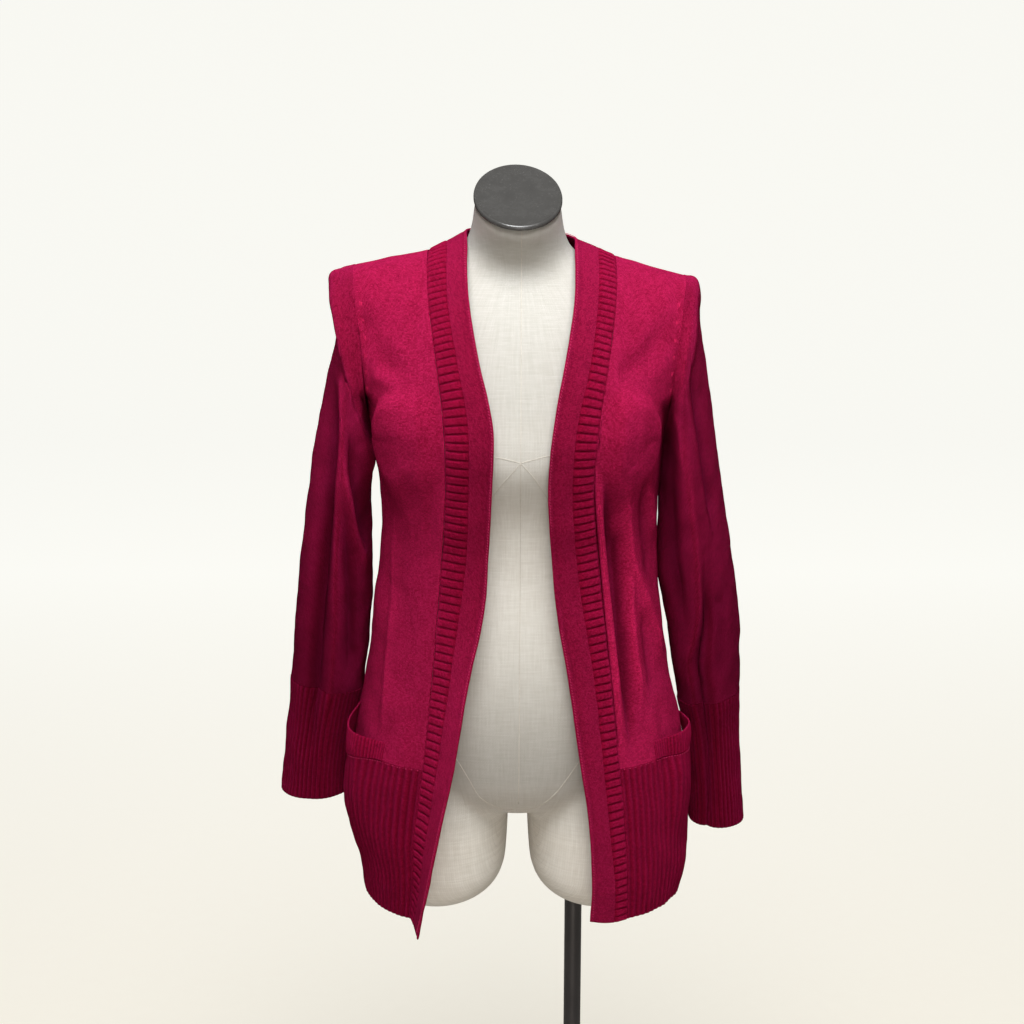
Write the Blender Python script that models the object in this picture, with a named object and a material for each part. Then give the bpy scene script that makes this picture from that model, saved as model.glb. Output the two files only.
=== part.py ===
"""An open-front knitted cardigan, worn by a linen-covered dress form on a pole and a round base.

Metres, +Z up, the floor at z = 0 and the fronts facing -Y. Left and right are the viewer's, as seen from
the front. Each knitted piece is a wall on one shared surface of the garment: its inner face lies on the
surface and its outer face stands off it by the cloth's thickness.
"""
import math
from collections import namedtuple

import bmesh
import bpy
from mathutils import Vector

for old_object in list(bpy.data.objects):
    bpy.data.objects.remove(old_object, do_unlink=True)

# ---------------------------------------------------------------- driving sizes
JERSEY = 0.002            # thickness of the plain knitted body and sleeves
RIBBING = 0.003           # thickness of the ribbed hem, cuffs and band
BAG_CLOTH = 0.0015        # thickness of a pocket bag
SEAM_GAP = 0.0003         # between neighbouring pieces
SEAM_INSET = 0.0002       # how far each piece is drawn in at its seams
ARMHOLE_GAP = 0.0006      # between the armhole edge and the sleeve head

HEM_HEIGHT = 0.620
BACK_HEM_LIFT = 0.034     # the back hem rides up in its middle
RIB_TOP = 0.812           # where the hem ribbing meets the jersey
ARMPIT_HEIGHT = 1.190
HEM_ROWS = 4
BODY_ROWS = 9
ARMHOLE_ROWS = 10
PANEL_COLUMNS = 9         # from the band's seam to the side seam
STRIP_COLUMNS = 2         # across each strip of the band
NECK_COLUMNS = 6          # from a shoulder to the centre of the back neck

CHEST_FULLNESS = 1.7      # how the fronts round over from the bust to the shoulder seam
BACK_FULLNESS = 2.2
BACK_RIDGE_HEIGHT = 1.400  # where the back's surface would reach over the neck, were it not cut away
ARMHOLE_DEPTH_FRONT = 0.058
ARMHOLE_DEPTH_BACK = 0.062
ARMPIT_ROUNDING = 1.5     # how late the armhole moves out towards the shoulder tip
ARMHOLE_ROUNDING = 0.8    # below 1 the armhole is fuller than an ellipse, seen from the side
UNDERARM_TO = (0.15, 0.55)  # shares of the armhole between which the sleeve comes in to meet the body's edge
BUST_SPREAD = 1.2         # how late the bust's round rows even out towards the shoulder
SHOULDER_SPREAD = 1.6
MITRE_FROM = 0.35         # above this share of the armhole, body and sleeve meet in one smooth line
SHOULDER_Y = 0.0          # the shoulder seams lie over the form's own centre
BACK_NECK_SEAM_HEIGHT = 1.354     # the band's lower edge at the centre back
BACK_NECK_EDGE = (0.064, 1.402)   # y and z of its upper edge there

POCKET_START = 0.34       # where the mouth begins, as a share of the way from the band to the side seam
POCKET_BAND_HEIGHT = 0.022
POCKET_PEAK = {"right": 0.003, "left": 0.015}   # how far the mouth is drawn up at the side seam
POCKET_SAG = {"right": 0.007, "left": 0.018}    # how far the ribbing below it hangs down there
POCKET_FULLNESS = {"right": 0.009, "left": 0.011}   # how far the mouth gapes in its middle
PANEL_DENT = 0.005        # how far the front hangs back behind the mouth
DENT_TO = 0.83            # where it ends, as a share of the way from the mouth's corner to the side seam
DENT_EASE = 0.25          # the dent sets in over this share of the mouth
DENT_RISE = 0.09          # and dies away over this height above the ribbing
BULGE_EASE = 0.35         # the ribbing's fullness sets in over this share of the mouth
MOUTH_LEAN = 0.002        # how far the mouth's edge stands out beyond the ribbing
POCKET_BAND_CLOTH = 0.0024
MOUTH_END_THIN = 0.45     # the band is pressed thin where its end is sewn down
MOUTH_END_LENGTH = 0.2    # over this share of the mouth
MOUTH_FROM = 0.012        # the mouth's two ends, as shares of the way from its corner to the side seam
MOUTH_TO = 0.985
MOUTH_SEAM = 0.001        # the pocket band starts this far above the ribbing
POCKET_FLOOR = 0.685
POCKET_COLUMNS = 8
POCKET_ROWS = 6
BAG_FROM = 0.04           # the bag's two sides, as shares of the way from the mouth's corner to the side seam
BAG_TO = 0.90
BAG_DROP = 0.0012         # the bag starts this far below the front panel
BAG_SLACK = 0.006
BAG_CLEARANCE = 0.0018

# ---------------------------------------------------------------- tables
Section = namedtuple("Section", "height half_width front back corner")
BODY_SECTIONS = [
    Section(0.615, 0.187, 0.134, 0.128, 2.4),
    Section(0.660, 0.198, 0.136, 0.134, 2.4),
    Section(0.730, 0.200, 0.136, 0.138, 2.4),
    Section(0.800, 0.195, 0.134, 0.137, 2.4),
    Section(0.860, 0.183, 0.131, 0.130, 2.3),
    Section(0.940, 0.169, 0.125, 0.118, 2.3),
    Section(1.050, 0.158, 0.119, 0.104, 2.3),
    Section(1.120, 0.159, 0.130, 0.109, 2.3),
    Section(1.190, 0.165, 0.140, 0.118, 2.3),
]

# Distances from the centre line to the opening edge, to the line between the band's plain and ribbed
# strips, and to the band's seam; forward is how far the edge swings out in front of the body.
FrontLine = namedtuple("FrontLine", "height edge rib_line seam forward")
FRONT_LINES = {
    "right": [
        FrontLine(0.615, 0.0830, 0.1110, 0.1265, 0.006),
        FrontLine(0.660, 0.0850, 0.1120, 0.1265, 0.006),
        FrontLine(0.750, 0.0805, 0.1030, 0.1220, 0.005),
        FrontLine(0.830, 0.0690, 0.0950, 0.1135, 0.003),
        FrontLine(0.920, 0.0563, 0.0850, 0.1043, 0.000),
        FrontLine(1.000, 0.0425, 0.0720, 0.0955, 0.000),
        FrontLine(1.060, 0.0370, 0.0640, 0.0895, 0.000),
        FrontLine(1.150, 0.0320, 0.0585, 0.0825, 0.000),
        FrontLine(1.220, 0.0380, 0.0635, 0.0880, 0.000),
        FrontLine(1.280, 0.0490, 0.0770, 0.0980, 0.000),
        FrontLine(1.345, 0.0605, 0.0865, 0.1070, 0.000),
        FrontLine(1.400, 0.0620, 0.0875, 0.1085, 0.000),
    ],
    "left": [
        FrontLine(0.615, 0.1160, 0.1205, 0.1255, 0.046),
        FrontLine(0.660, 0.1060, 0.1140, 0.1225, 0.044),
        FrontLine(0.720, 0.0935, 0.1050, 0.1185, 0.040),
        FrontLine(0.770, 0.0830, 0.0965, 0.1125, 0.034),
        FrontLine(0.830, 0.0690, 0.0875, 0.1055, 0.024),
        FrontLine(0.920, 0.0545, 0.0750, 0.0960, 0.012),
        FrontLine(1.000, 0.0370, 0.0640, 0.0890, 0.003),
        FrontLine(1.060, 0.0325, 0.0565, 0.0840, 0.000),
        FrontLine(1.150, 0.0275, 0.0530, 0.0785, 0.000),
        FrontLine(1.220, 0.0265, 0.0535, 0.0805, 0.000),
        FrontLine(1.280, 0.0400, 0.0640, 0.0880, 0.000),
        FrontLine(1.345, 0.0520, 0.0755, 0.0975, 0.000),
        FrontLine(1.410, 0.0560, 0.0780, 0.1010, 0.000),
    ],
}

# The shoulder seam falls in a straight line from the neck edge to the band's seam and on to the tip.
Shoulder = namedtuple("Shoulder", "neck_x neck_height seam_x seam_height tip_x tip_height")
SHOULDERS = {
    "right": Shoulder(0.062, 1.397, 0.108, 1.377, 0.186, 1.356),
    "left": Shoulder(0.056, 1.405, 0.101, 1.384, 0.182, 1.368),
}

# A sleeve's sections, from its head to the cuff's end: the outer and inner points of its outline from the
# front, the middle of its depth and half its depth.
SleeveSection = namedtuple("SleeveSection", "outer_x outer_z inner_x inner_z centre_y half_depth")
SLEEVES = {
    "right": [
        SleeveSection(0.1975, 1.3520, 0.1715, 1.180, 0.001, 0.0610),
        SleeveSection(0.2035, 1.3375, 0.1725, 1.172, 0.003, 0.0645),
        SleeveSection(0.2050, 1.3120, 0.1728, 1.158, 0.005, 0.0660),
        SleeveSection(0.2145, 1.2450, 0.1722, 1.125, 0.008, 0.0660),
        SleeveSection(0.2270, 1.1700, 0.1712, 1.080, 0.012, 0.0630),
        SleeveSection(0.2410, 1.0900, 0.1715, 1.030, 0.017, 0.0580),
        SleeveSection(0.2540, 1.0200, 0.1735, 0.975, 0.022, 0.0530),
        SleeveSection(0.2645, 0.9400, 0.1825, 0.912, 0.028, 0.0480),
        SleeveSection(0.2670, 0.8530, 0.1945, 0.842, 0.034, 0.0420),
    ],
    "left": [
        SleeveSection(0.1955, 1.3640, 0.1715, 1.180, 0.001, 0.0610),
        SleeveSection(0.2080, 1.3480, 0.1730, 1.172, 0.003, 0.0645),
        SleeveSection(0.2040, 1.3080, 0.1740, 1.158, 0.005, 0.0660),
        SleeveSection(0.2160, 1.2450, 0.1745, 1.125, 0.008, 0.0660),
        SleeveSection(0.2290, 1.1700, 0.1735, 1.080, 0.012, 0.0630),
        SleeveSection(0.2430, 1.0900, 0.1725, 1.030, 0.017, 0.0580),
        SleeveSection(0.2545, 1.0200, 0.1735, 0.975, 0.022, 0.0530),
        SleeveSection(0.2640, 0.9400, 0.1795, 0.915, 0.029, 0.0480),
        SleeveSection(0.2705, 0.8680, 0.1880, 0.856, 0.038, 0.0420),
    ],
}
CUFFS = {
    "right": [
        SleeveSection(0.2665, 0.8527, 0.1945, 0.8417, 0.034, 0.0415),
        SleeveSection(0.2665, 0.8000, 0.2045, 0.7930, 0.038, 0.0360),
        SleeveSection(0.2705, 0.7400, 0.2105, 0.7350, 0.039, 0.0345),
        SleeveSection(0.2760, 0.6800, 0.2125, 0.6800, 0.039, 0.0340),
    ],
    "left": [
        SleeveSection(0.2700, 0.8677, 0.1880, 0.8557, 0.038, 0.0415),
        SleeveSection(0.2760, 0.8100, 0.2010, 0.8030, 0.040, 0.0365),
        SleeveSection(0.2820, 0.7600, 0.2075, 0.7560, 0.041, 0.0350),
        SleeveSection(0.2865, 0.7180, 0.2095, 0.7180, 0.041, 0.0345),
    ],
}

# The largest folds of the body: a soft ridge (or trough, where height is negative) along a line.
Fold = namedtuple("Fold", "side top_x top_z bottom_x bottom_z width height")
BODY_FOLDS = [
    Fold("right", 0.128, 1.120, 0.138, 0.940, 0.014, 0.0045),
    Fold("right", 0.138, 0.960, 0.152, 0.853, 0.012, 0.0040),
    Fold("left", 0.150, 1.090, 0.158, 0.853, 0.012, 0.0040),
    Fold("left", 0.118, 1.060, 0.124, 0.860, 0.012, -0.0030),
]
SleeveFold = namedtuple("SleeveFold", "side top_z bottom_z angle width depth")
SLEEVE_FOLDS = [
    SleeveFold("right", 1.05, 0.60, 118.0, 14.0, 0.0075),
    SleeveFold("left", 1.20, 0.95, 75.0, 16.0, 0.0050),
]

# The form, from its closed underside to the neck: half widths and depths about a centre that may move
# forward, and how steeply the section leans forward.
FormSection = namedtuple("FormSection", "height centre_y half_width front back lean corner")
FORM_SECTIONS = [
    FormSection(0.725, 0.000, 0.020, 0.030, 0.035, 0.00, 2.0),
    FormSection(0.729, 0.000, 0.055, 0.055, 0.062, 0.00, 2.0),
    FormSection(0.741, 0.000, 0.100, 0.078, 0.088, 0.00, 2.1),
    FormSection(0.764, 0.000, 0.143, 0.094, 0.106, 0.00, 2.2),
    FormSection(0.800, 0.000, 0.163, 0.102, 0.116, 0.00, 2.2),
    FormSection(0.860, 0.000, 0.166, 0.106, 0.117, 0.00, 2.2),
    FormSection(0.920, 0.000, 0.155, 0.104, 0.105, 0.00, 2.2),
    FormSection(0.980, 0.000, 0.135, 0.097, 0.091, 0.00, 2.2),
    FormSection(1.040, 0.000, 0.120, 0.092, 0.084, 0.00, 2.2),
    FormSection(1.100, 0.000, 0.126, 0.100, 0.087, 0.00, 2.2),
    FormSection(1.165, 0.000, 0.141, 0.127, 0.095, 0.00, 2.3),
    FormSection(1.220, 0.000, 0.149, 0.121, 0.098, 0.00, 2.3),
    FormSection(1.270, 0.000, 0.152, 0.102, 0.090, 0.00, 2.3),
    FormSection(1.310, 0.000, 0.153, 0.081, 0.074, 0.00, 2.3),
    FormSection(1.340, 0.000, 0.149, 0.060, 0.056, 0.00, 2.2),
    FormSection(1.358, 0.000, 0.134, 0.046, 0.045, 0.00, 2.1),
    FormSection(1.370, 0.000, 0.104, 0.041, 0.042, 0.05, 2.0),
    FormSection(1.380, 0.000, 0.077, 0.042, 0.043, 0.12, 2.0),
    FormSection(1.392, -0.002, 0.059, 0.045, 0.045, 0.20, 2.0),
    FormSection(1.412, -0.007, 0.0515, 0.049, 0.048, 0.32, 2.0),
    FormSection(1.430, -0.013, 0.0485, 0.053, 0.053, 0.42, 2.0),
    FormSection(1.4445, -0.019, 0.0478, 0.0525, 0.0555, 0.49, 2.0),
]
FORM_LEAN = 0.040         # the form leans a little to the right from the bust up
FORM_COLUMNS = 32
CAP_THICKNESS = 0.0045
CAP_OVERHANG = 0.0008
CAP_SIDE = 0.7            # the cap's side is upright to this share of its thickness, then chamfered
CAP_CHAMFER = 0.0012

ThighSection = namedtuple("ThighSection", "height scale")
THIGH_SECTIONS = [
    ThighSection(0.6020, 0.30),
    ThighSection(0.6065, 0.62),
    ThighSection(0.6180, 0.84),
    ThighSection(0.6380, 0.96),
    ThighSection(0.6700, 1.00),
    ThighSection(0.7200, 1.02),
    ThighSection(0.7700, 0.94),
    ThighSection(0.8000, 0.70),
]
THIGH_CENTRE_X = 0.0885
THIGH_HALF_WIDTH = 0.0755
THIGH_FRONT = 0.088
THIGH_BACK = 0.094
THIGH_TILT = 0.10         # the inner side of a stub's end is higher than its outer side
THIGH_COLUMNS = 28

POLE_X = 0.0685
POLE_RADIUS = 0.0105
POLE_TOP = 0.640
POLE_SIDES = 32
SOCKET_DEPTH_CLEARANCE = 0.0005
SOCKET_FROM = 0.50        # below the thigh's underside
BASE_RADIUS = 0.170
BASE_THICKNESS = 0.008
BASE_SIDES = 64
BASE_BEVEL = 0.002


# ---------------------------------------------------------------- helpers
def smooth_between(rows, height, column):
    """A column's value at a height, on a smooth curve through the table's rows."""
    values = [getattr(row, column) for row in rows]
    heights = [row.height for row in rows]
    if height <= heights[0]:
        return values[0]
    if height >= heights[-1]:
        return values[-1]
    k = next(i for i in range(len(rows) - 1) if height <= heights[i + 1])

    def slope(i):
        low, high = max(i - 1, 0), min(i + 1, len(rows) - 1)
        return (values[high] - values[low]) / (heights[high] - heights[low])

    step = heights[k + 1] - heights[k]
    s = (height - heights[k]) / step
    return (values[k] * (1 + 2 * s) * (1 - s) ** 2
            + values[k + 1] * s * s * (3 - 2 * s)
            + slope(k) * step * s * (1 - s) ** 2
            - slope(k + 1) * step * s * s * (1 - s))


def ease(low, high, value):
    """0 below low, 1 above high, and a smooth step between."""
    s = min(1.0, max(0.0, (value - low) / (high - low)))
    return s * s * (3 - 2 * s)


def mix(a, b, share):
    return a + (b - a) * share


def side_sign(side):
    return 1.0 if side == "right" else -1.0


def make_material(name, colour, roughness, metallic=0.0):
    material = bpy.data.materials.new(name)
    material.use_nodes = True
    shader = material.node_tree.nodes["Principled BSDF"]
    shader.inputs["Base Color"].default_value = (*colour, 1.0)
    shader.inputs["Roughness"].default_value = roughness
    shader.inputs["Metallic"].default_value = metallic
    return material


def make_object(name, vertices, faces, material):
    """A closed mesh object with its faces turned outwards."""
    mesh = bpy.data.meshes.new(name)
    mesh.from_pydata([tuple(v) for v in vertices], [], faces)
    work = bmesh.new()
    work.from_mesh(mesh)
    bmesh.ops.recalc_face_normals(work, faces=work.faces)
    work.to_mesh(mesh)
    work.free()
    mesh.materials.append(material)
    mesh.shade_smooth()
    mesh.set_sharp_from_angle(angle=math.radians(40))
    made = bpy.data.objects.new(name, mesh)
    bpy.context.scene.collection.objects.link(made)
    return made


# ---------------------------------------------------------------- the garment's surface
def ridge_height(side, x):
    """Height of the shoulder seam at a distance from the centre."""
    s = SHOULDERS[side]
    if x <= s.seam_x:
        return mix(s.neck_height, s.seam_height, (x - s.neck_x) / (s.seam_x - s.neck_x))
    return mix(s.seam_height, s.tip_height, (x - s.seam_x) / (s.tip_x - s.seam_x))


def ring_angle(x, half_width, corner):
    return math.asin(min(1.0, (x / half_width) ** (corner / 2)))


def ring_reach(angle, half_width, depth, corner):
    """Distances sideways and in depth on a rounded section, from its front (0) to its side (90 degrees)."""
    return half_width * math.sin(angle) ** (2 / corner), depth * math.cos(angle) ** (2 / corner)


def armhole_point(side, share, depth):
    """A point on the armhole, from the armpit (0) to the shoulder tip (1); depth is negative in front."""
    tip = SHOULDERS[side]
    turn = math.pi * share
    rise = (1 - math.cos(turn)) / 2
    armpit_x = BODY_SECTIONS[-1].half_width
    return Vector((side_sign(side) * mix(armpit_x, tip.tip_x, rise ** ARMPIT_ROUNDING),
                   SHOULDER_Y + depth * math.sin(turn) ** ARMHOLE_ROUNDING,
                   mix(ARMPIT_HEIGHT, tip.tip_height, rise)))


def side_point(side, height):
    return Vector((side_sign(side) * smooth_between(BODY_SECTIONS, height, "half_width"), 0.0, height))


def band_distances(side, height):
    """Distances from the centre of the points across the band, from the edge to its seam."""
    edge = smooth_between(FRONT_LINES[side], height, "edge")
    rib_line = smooth_between(FRONT_LINES[side], height, "rib_line")
    seam = smooth_between(FRONT_LINES[side], height, "seam")
    plain = [mix(edge, rib_line, k / STRIP_COLUMNS) for k in range(STRIP_COLUMNS)]
    ribbed = [mix(rib_line, seam, k / STRIP_COLUMNS) for k in range(STRIP_COLUMNS + 1)]
    return plain + ribbed


def front_row_below(side, height):
    """A level row of the front: five points across the band, then on to the side seam."""
    sign = side_sign(side)
    half_width = smooth_between(BODY_SECTIONS, height, "half_width")
    depth = smooth_between(BODY_SECTIONS, height, "front")
    corner = smooth_between(BODY_SECTIONS, height, "corner")
    forward = smooth_between(FRONT_LINES[side], height, "forward")
    distances = band_distances(side, height)
    row = []
    for k, x in enumerate(distances):
        y = -ring_reach(ring_angle(x, half_width, corner), half_width, depth, corner)[1]
        swing = forward * (1 - k / (len(distances) - 1)) ** 1.4
        row.append(Vector((sign * x, y - swing, height)))
    seam_angle = ring_angle(distances[-1], half_width, corner)
    for k in range(1, PANEL_COLUMNS + 1):
        angle = mix(seam_angle, math.pi / 2, k / PANEL_COLUMNS)
        x, y = ring_reach(angle, half_width, depth, corner)
        row.append(Vector((sign * x, -y, height)))
    row[-1] = side_point(side, height)
    return row


def front_row_above(side, share):
    """A row above the armpit, rising from the bust (0) to the shoulder seam (1)."""
    sign = side_sign(side)
    bust = BODY_SECTIONS[-1]
    rise = math.sin(math.pi / 2 * share) ** (2 / CHEST_FULLNESS)
    reach = max(0.0, math.cos(math.pi / 2 * share)) ** (2 / CHEST_FULLNESS)
    row = []
    for k in range(2 * STRIP_COLUMNS + 1):
        height = ARMPIT_HEIGHT
        for _ in range(8):
            x = band_distances(side, height)[k]
            height = mix(ARMPIT_HEIGHT, ridge_height(side, x), rise)
        angle = ring_angle(x, bust.half_width, bust.corner)
        depth = ring_reach(angle, bust.half_width, bust.front, bust.corner)[1]
        row.append(Vector((sign * x, mix(SHOULDER_Y, -depth, reach), height)))
    seam = row[-1]
    armhole = armhole_point(side, share, -ARMHOLE_DEPTH_FRONT)
    seam_x = abs(seam.x)
    start = ring_angle(min(seam_x, 0.97 * bust.half_width), bust.half_width, bust.corner)
    start_x, start_y = ring_reach(start, 1.0, 1.0, bust.corner)
    level = share ** BUST_SPREAD
    for k in range(1, PANEL_COLUMNS):
        s = k / PANEL_COLUMNS
        round_x, round_y = ring_reach(mix(start, math.pi / 2, s), 1.0, 1.0, bust.corner)
        share_x = mix((round_x - start_x) / (1 - start_x), s, level)
        share_y = mix(1 - round_y / start_y, s ** SHOULDER_SPREAD, level)
        row.append(Vector((mix(seam.x, armhole.x, share_x),
                           mix(seam.y, armhole.y, share_y),
                           mix(seam.z, armhole.z, mix(s, share_x, level)))))
    row.append(armhole)
    return row


def row_heights():
    """Heights of the level rows, from the hem to the armpit."""
    ribbing = [mix(HEM_HEIGHT, RIB_TOP, k / HEM_ROWS) for k in range(HEM_ROWS)]
    body = [mix(RIB_TOP, ARMPIT_HEIGHT, k / BODY_ROWS) for k in range(BODY_ROWS + 1)]
    return ribbing + body


def front_net(side):
    rows = [front_row_below(side, height) for height in row_heights()]
    return rows + [front_row_above(side, k / ARMHOLE_ROWS) for k in range(1, ARMHOLE_ROWS + 1)]


def back_bottom_row(side, height):
    """A level row of half the back, from the side seam to the centre."""
    half_width = smooth_between(BODY_SECTIONS, height, "half_width")
    depth = smooth_between(BODY_SECTIONS, height, "back")
    corner = smooth_between(BODY_SECTIONS, height, "corner")
    columns = PANEL_COLUMNS + NECK_COLUMNS
    row = [side_point(side, height)]
    for k in range(1, columns + 1):
        x, y = ring_reach(math.pi / 2 * (1 - k / columns), half_width, depth, corner)
        lift = BACK_HEM_LIFT * (1 - ease(HEM_HEIGHT, RIB_TOP, height)) * ease(0.0, 0.8, k / columns)
        row.append(Vector((side_sign(side) * x, y, height + lift)))
    row[-1].x = 0.0
    return row


def back_half_rows(side, front):
    """Rows of half the back, each from the side seam or armhole to the centre back."""
    shoulder = SHOULDERS[side]
    columns = PANEL_COLUMNS + NECK_COLUMNS
    rows = [back_bottom_row(side, height) for height in row_heights()]
    bottom = rows[-1]
    top_x, turn_end, crest = [], [], []
    for k in range(columns + 1):
        if k <= PANEL_COLUMNS:
            seam_point = front[-1][-1 - k]
            top_x.append(seam_point.x)
            crest.append(seam_point.z)
            turn_end.append(math.pi / 2)
            continue
        sweep = math.cos(math.pi / 2 * (k - PANEL_COLUMNS) / NECK_COLUMNS)
        top_x.append(side_sign(side) * shoulder.seam_x * sweep)
        crest.append(mix(BACK_RIDGE_HEIGHT, shoulder.seam_height, sweep))
        neck_height = mix(BACK_NECK_SEAM_HEIGHT, shoulder.seam_height, sweep ** 2.2)
        rise = (neck_height - ARMPIT_HEIGHT) / (crest[-1] - ARMPIT_HEIGHT)
        turn_end.append(math.asin(rise ** (BACK_FULLNESS / 2)))
    for level in range(1, ARMHOLE_ROWS + 1):
        share = level / ARMHOLE_ROWS
        row = []
        for k in range(columns + 1):
            turn = turn_end[k] * share
            rise = math.sin(turn) ** (2 / BACK_FULLNESS)
            reach = max(0.0, math.cos(turn)) ** (2 / BACK_FULLNESS)
            row.append(Vector((mix(bottom[k].x, top_x[k], share),
                               mix(SHOULDER_Y, bottom[k].y, reach),
                               mix(ARMPIT_HEIGHT, crest[k], rise))))
        if level < ARMHOLE_ROWS:
            armhole = armhole_point(side, share, ARMHOLE_DEPTH_BACK)
            correction = armhole - row[0]
            for k in range(columns + 1):
                row[k] = row[k] + correction * (1 - k / columns) ** 3
            row[0] = armhole
        else:
            row[:PANEL_COLUMNS + 1] = front[-1][:2 * STRIP_COLUMNS - 1:-1]
        row[-1].x = 0.0
        rows.append(row)
    return rows


def neck_sections(fronts, backs):
    """Sections of the band round the back neck, from the right shoulder to the left."""
    across_band = 2 * STRIP_COLUMNS
    sections = [fronts["right"][-1][:across_band + 1]]
    for k in range(1, 2 * NECK_COLUMNS):
        turn = math.pi * k / (2 * NECK_COLUMNS)
        side = "right" if k <= NECK_COLUMNS else "left"
        column = PANEL_COLUMNS + (k if side == "right" else 2 * NECK_COLUMNS - k)
        shoulder = SHOULDERS[side]
        sweep = abs(math.cos(turn))
        edge = Vector((side_sign(side) * shoulder.neck_x * sweep, BACK_NECK_EDGE[0] * math.sin(turn),
                       mix(BACK_NECK_EDGE[1], shoulder.neck_height, sweep ** 1.5)))
        seam = backs[side][-1][column]
        section = [edge.lerp(seam, j / across_band) for j in range(across_band)] + [seam]
        sections.append(section)
    sections.append(fronts["left"][-1][:across_band + 1])
    return sections


def body_fold(side, point):
    """How far a point of the body stands out on the folds."""
    out = 0.0
    for fold in BODY_FOLDS:
        if fold.side != side or point.y > -0.002:
            continue
        along = (fold.top_z - point.z) / (fold.top_z - fold.bottom_z)
        if not 0.0 < along < 1.0:
            continue
        centre = mix(fold.top_x, fold.bottom_x, along)
        off = (abs(point.x) - centre) / fold.width
        out += fold.height * math.sin(math.pi * along) * math.exp(-off * off)
    return out


# ---------------------------------------------------------------- building walls
def add_net_normals(table, net, outward_hint):
    """Adds each quad's area-weighted normal to the four points that it joins."""
    for i in range(len(net) - 1):
        for j in range(len(net[i]) - 1):
            corners = [net[i][j], net[i][j + 1], net[i + 1][j + 1], net[i + 1][j]]
            normal = (corners[2] - corners[0]).cross(corners[3] - corners[1])
            middle = (corners[0] + corners[1] + corners[2] + corners[3]) / 4
            if normal.dot(outward_hint(middle)) < 0:
                normal.negate()
            for corner in corners:
                key = tuple(corner)
                table[key] = table.get(key, Vector()) + normal


def inset_net(net, gap, closed=False):
    """The net with its edges drawn in by the gap, along the surface and square to each edge."""
    moved = [[point.copy() for point in row] for row in net]
    last = len(net) - 1
    columns = len(net[0])

    def inwards(point, inner, before, after):
        along = (after - before).normalized()
        step = inner - point
        return (step - along * step.dot(along)).normalized() * gap

    for j in range(columns):
        before, after = (j - 1) % columns, (j + 1) % columns
        if not closed:
            before, after = max(j - 1, 0), min(j + 1, columns - 1)
        moved[0][j] += inwards(net[0][j], net[1][j], net[0][before], net[0][after])
        moved[last][j] += inwards(net[last][j], net[last - 1][j], net[last][before], net[last][after])
    if not closed:
        for i in range(len(net)):
            before, after = max(i - 1, 0), min(i + 1, last)
            moved[i][0] += inwards(net[i][0], net[i][1], net[before][0], net[after][0])
            moved[i][-1] += inwards(net[i][-1], net[i][-2], net[before][-1], net[after][-1])
    return moved


def wall(name, net, normals, thickness, material, closed=False):
    """A closed wall of cloth: the net is its inner face, and its outer face stands off along the normals."""
    rows, columns = len(net), len(net[0])
    inner = [point for row in net for point in row]
    outer = [point + normal * thickness for row, turned in zip(net, normals) for point, normal in zip(row, turned)]
    count = len(inner)
    faces = []
    spans = columns if closed else columns - 1
    for i in range(rows - 1):
        for j in range(spans):
            a, b = i * columns + j, i * columns + (j + 1) % columns
            c, d = b + columns, a + columns
            faces.append((a, b, c, d))
            faces.append((count + d, count + c, count + b, count + a))
    for j in range(spans):
        for start in (0, (rows - 1) * columns):
            a, b = start + j, start + (j + 1) % columns
            rim = (a, b, count + b, count + a)
            faces.append(rim if start else rim[::-1])
    if not closed:
        for i in range(rows - 1):
            for j in (0, columns - 1):
                a, b = i * columns + j, (i + 1) * columns + j
                rim = (a, b, count + b, count + a)
                faces.append(rim[::-1] if j else rim)
    return make_object(name, inner + outer, faces, material)


def cloth_piece(name, net, thickness, material, table):
    normals = [[table[tuple(point)].normalized() for point in row] for row in net]
    return wall(name, inset_net(net, SEAM_INSET), normals, thickness, material)


# ---------------------------------------------------------------- the sleeves' rings
def sleeve_ring(side, section):
    """A section of the sleeve, from its outer point round the front, the inner point and the back."""
    outer = Vector((side_sign(side) * section.outer_x, section.centre_y, section.outer_z))
    inner = Vector((side_sign(side) * section.inner_x, section.centre_y, section.inner_z))
    middle = (outer + inner) / 2
    half = (outer - inner) / 2
    ring = []
    for k in range(2 * ARMHOLE_ROWS):
        turn = math.pi * k / ARMHOLE_ROWS
        ring.append(middle + half * math.cos(turn) - Vector((0.0, section.half_depth * math.sin(turn), 0.0)))
    return ring


def armhole_share(k):
    """How far up the armhole a point of the sleeve's first ring lies, and the armhole's depth there."""
    if k <= ARMHOLE_ROWS:
        return (ARMHOLE_ROWS - k) / ARMHOLE_ROWS, -ARMHOLE_DEPTH_FRONT
    return (k - ARMHOLE_ROWS) / ARMHOLE_ROWS, ARMHOLE_DEPTH_BACK


def sleeve_head(side):
    """The sleeve's first ring lies along the armhole, and outside the body's wall at the underarm."""
    ring = []
    for k in range(2 * ARMHOLE_ROWS):
        share, depth = armhole_share(k)
        point = armhole_point(side, share, depth)
        outside = ARMHOLE_GAP + 2 * JERSEY * (1 - ease(*UNDERARM_TO, share))
        point.x += side_sign(side) * outside
        ring.append(point)
    return ring


def ring_normals(rings):
    """Directions away from a tube's middle, square to its surface."""
    normals = []
    count = len(rings[0])
    for i, ring in enumerate(rings):
        above = rings[max(0, i - 1)]
        below = rings[min(len(rings) - 1, i + 1)]
        middle = sum(ring, Vector()) / count
        turned = []
        for k in range(count):
            along = below[k] - above[k]
            around = ring[(k + 1) % count] - ring[k - 1]
            normal = along.cross(around).normalized()
            if normal.dot(ring[k] - middle) < 0:
                normal.negate()
            turned.append(normal)
        normals.append(turned)
    return normals


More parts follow.
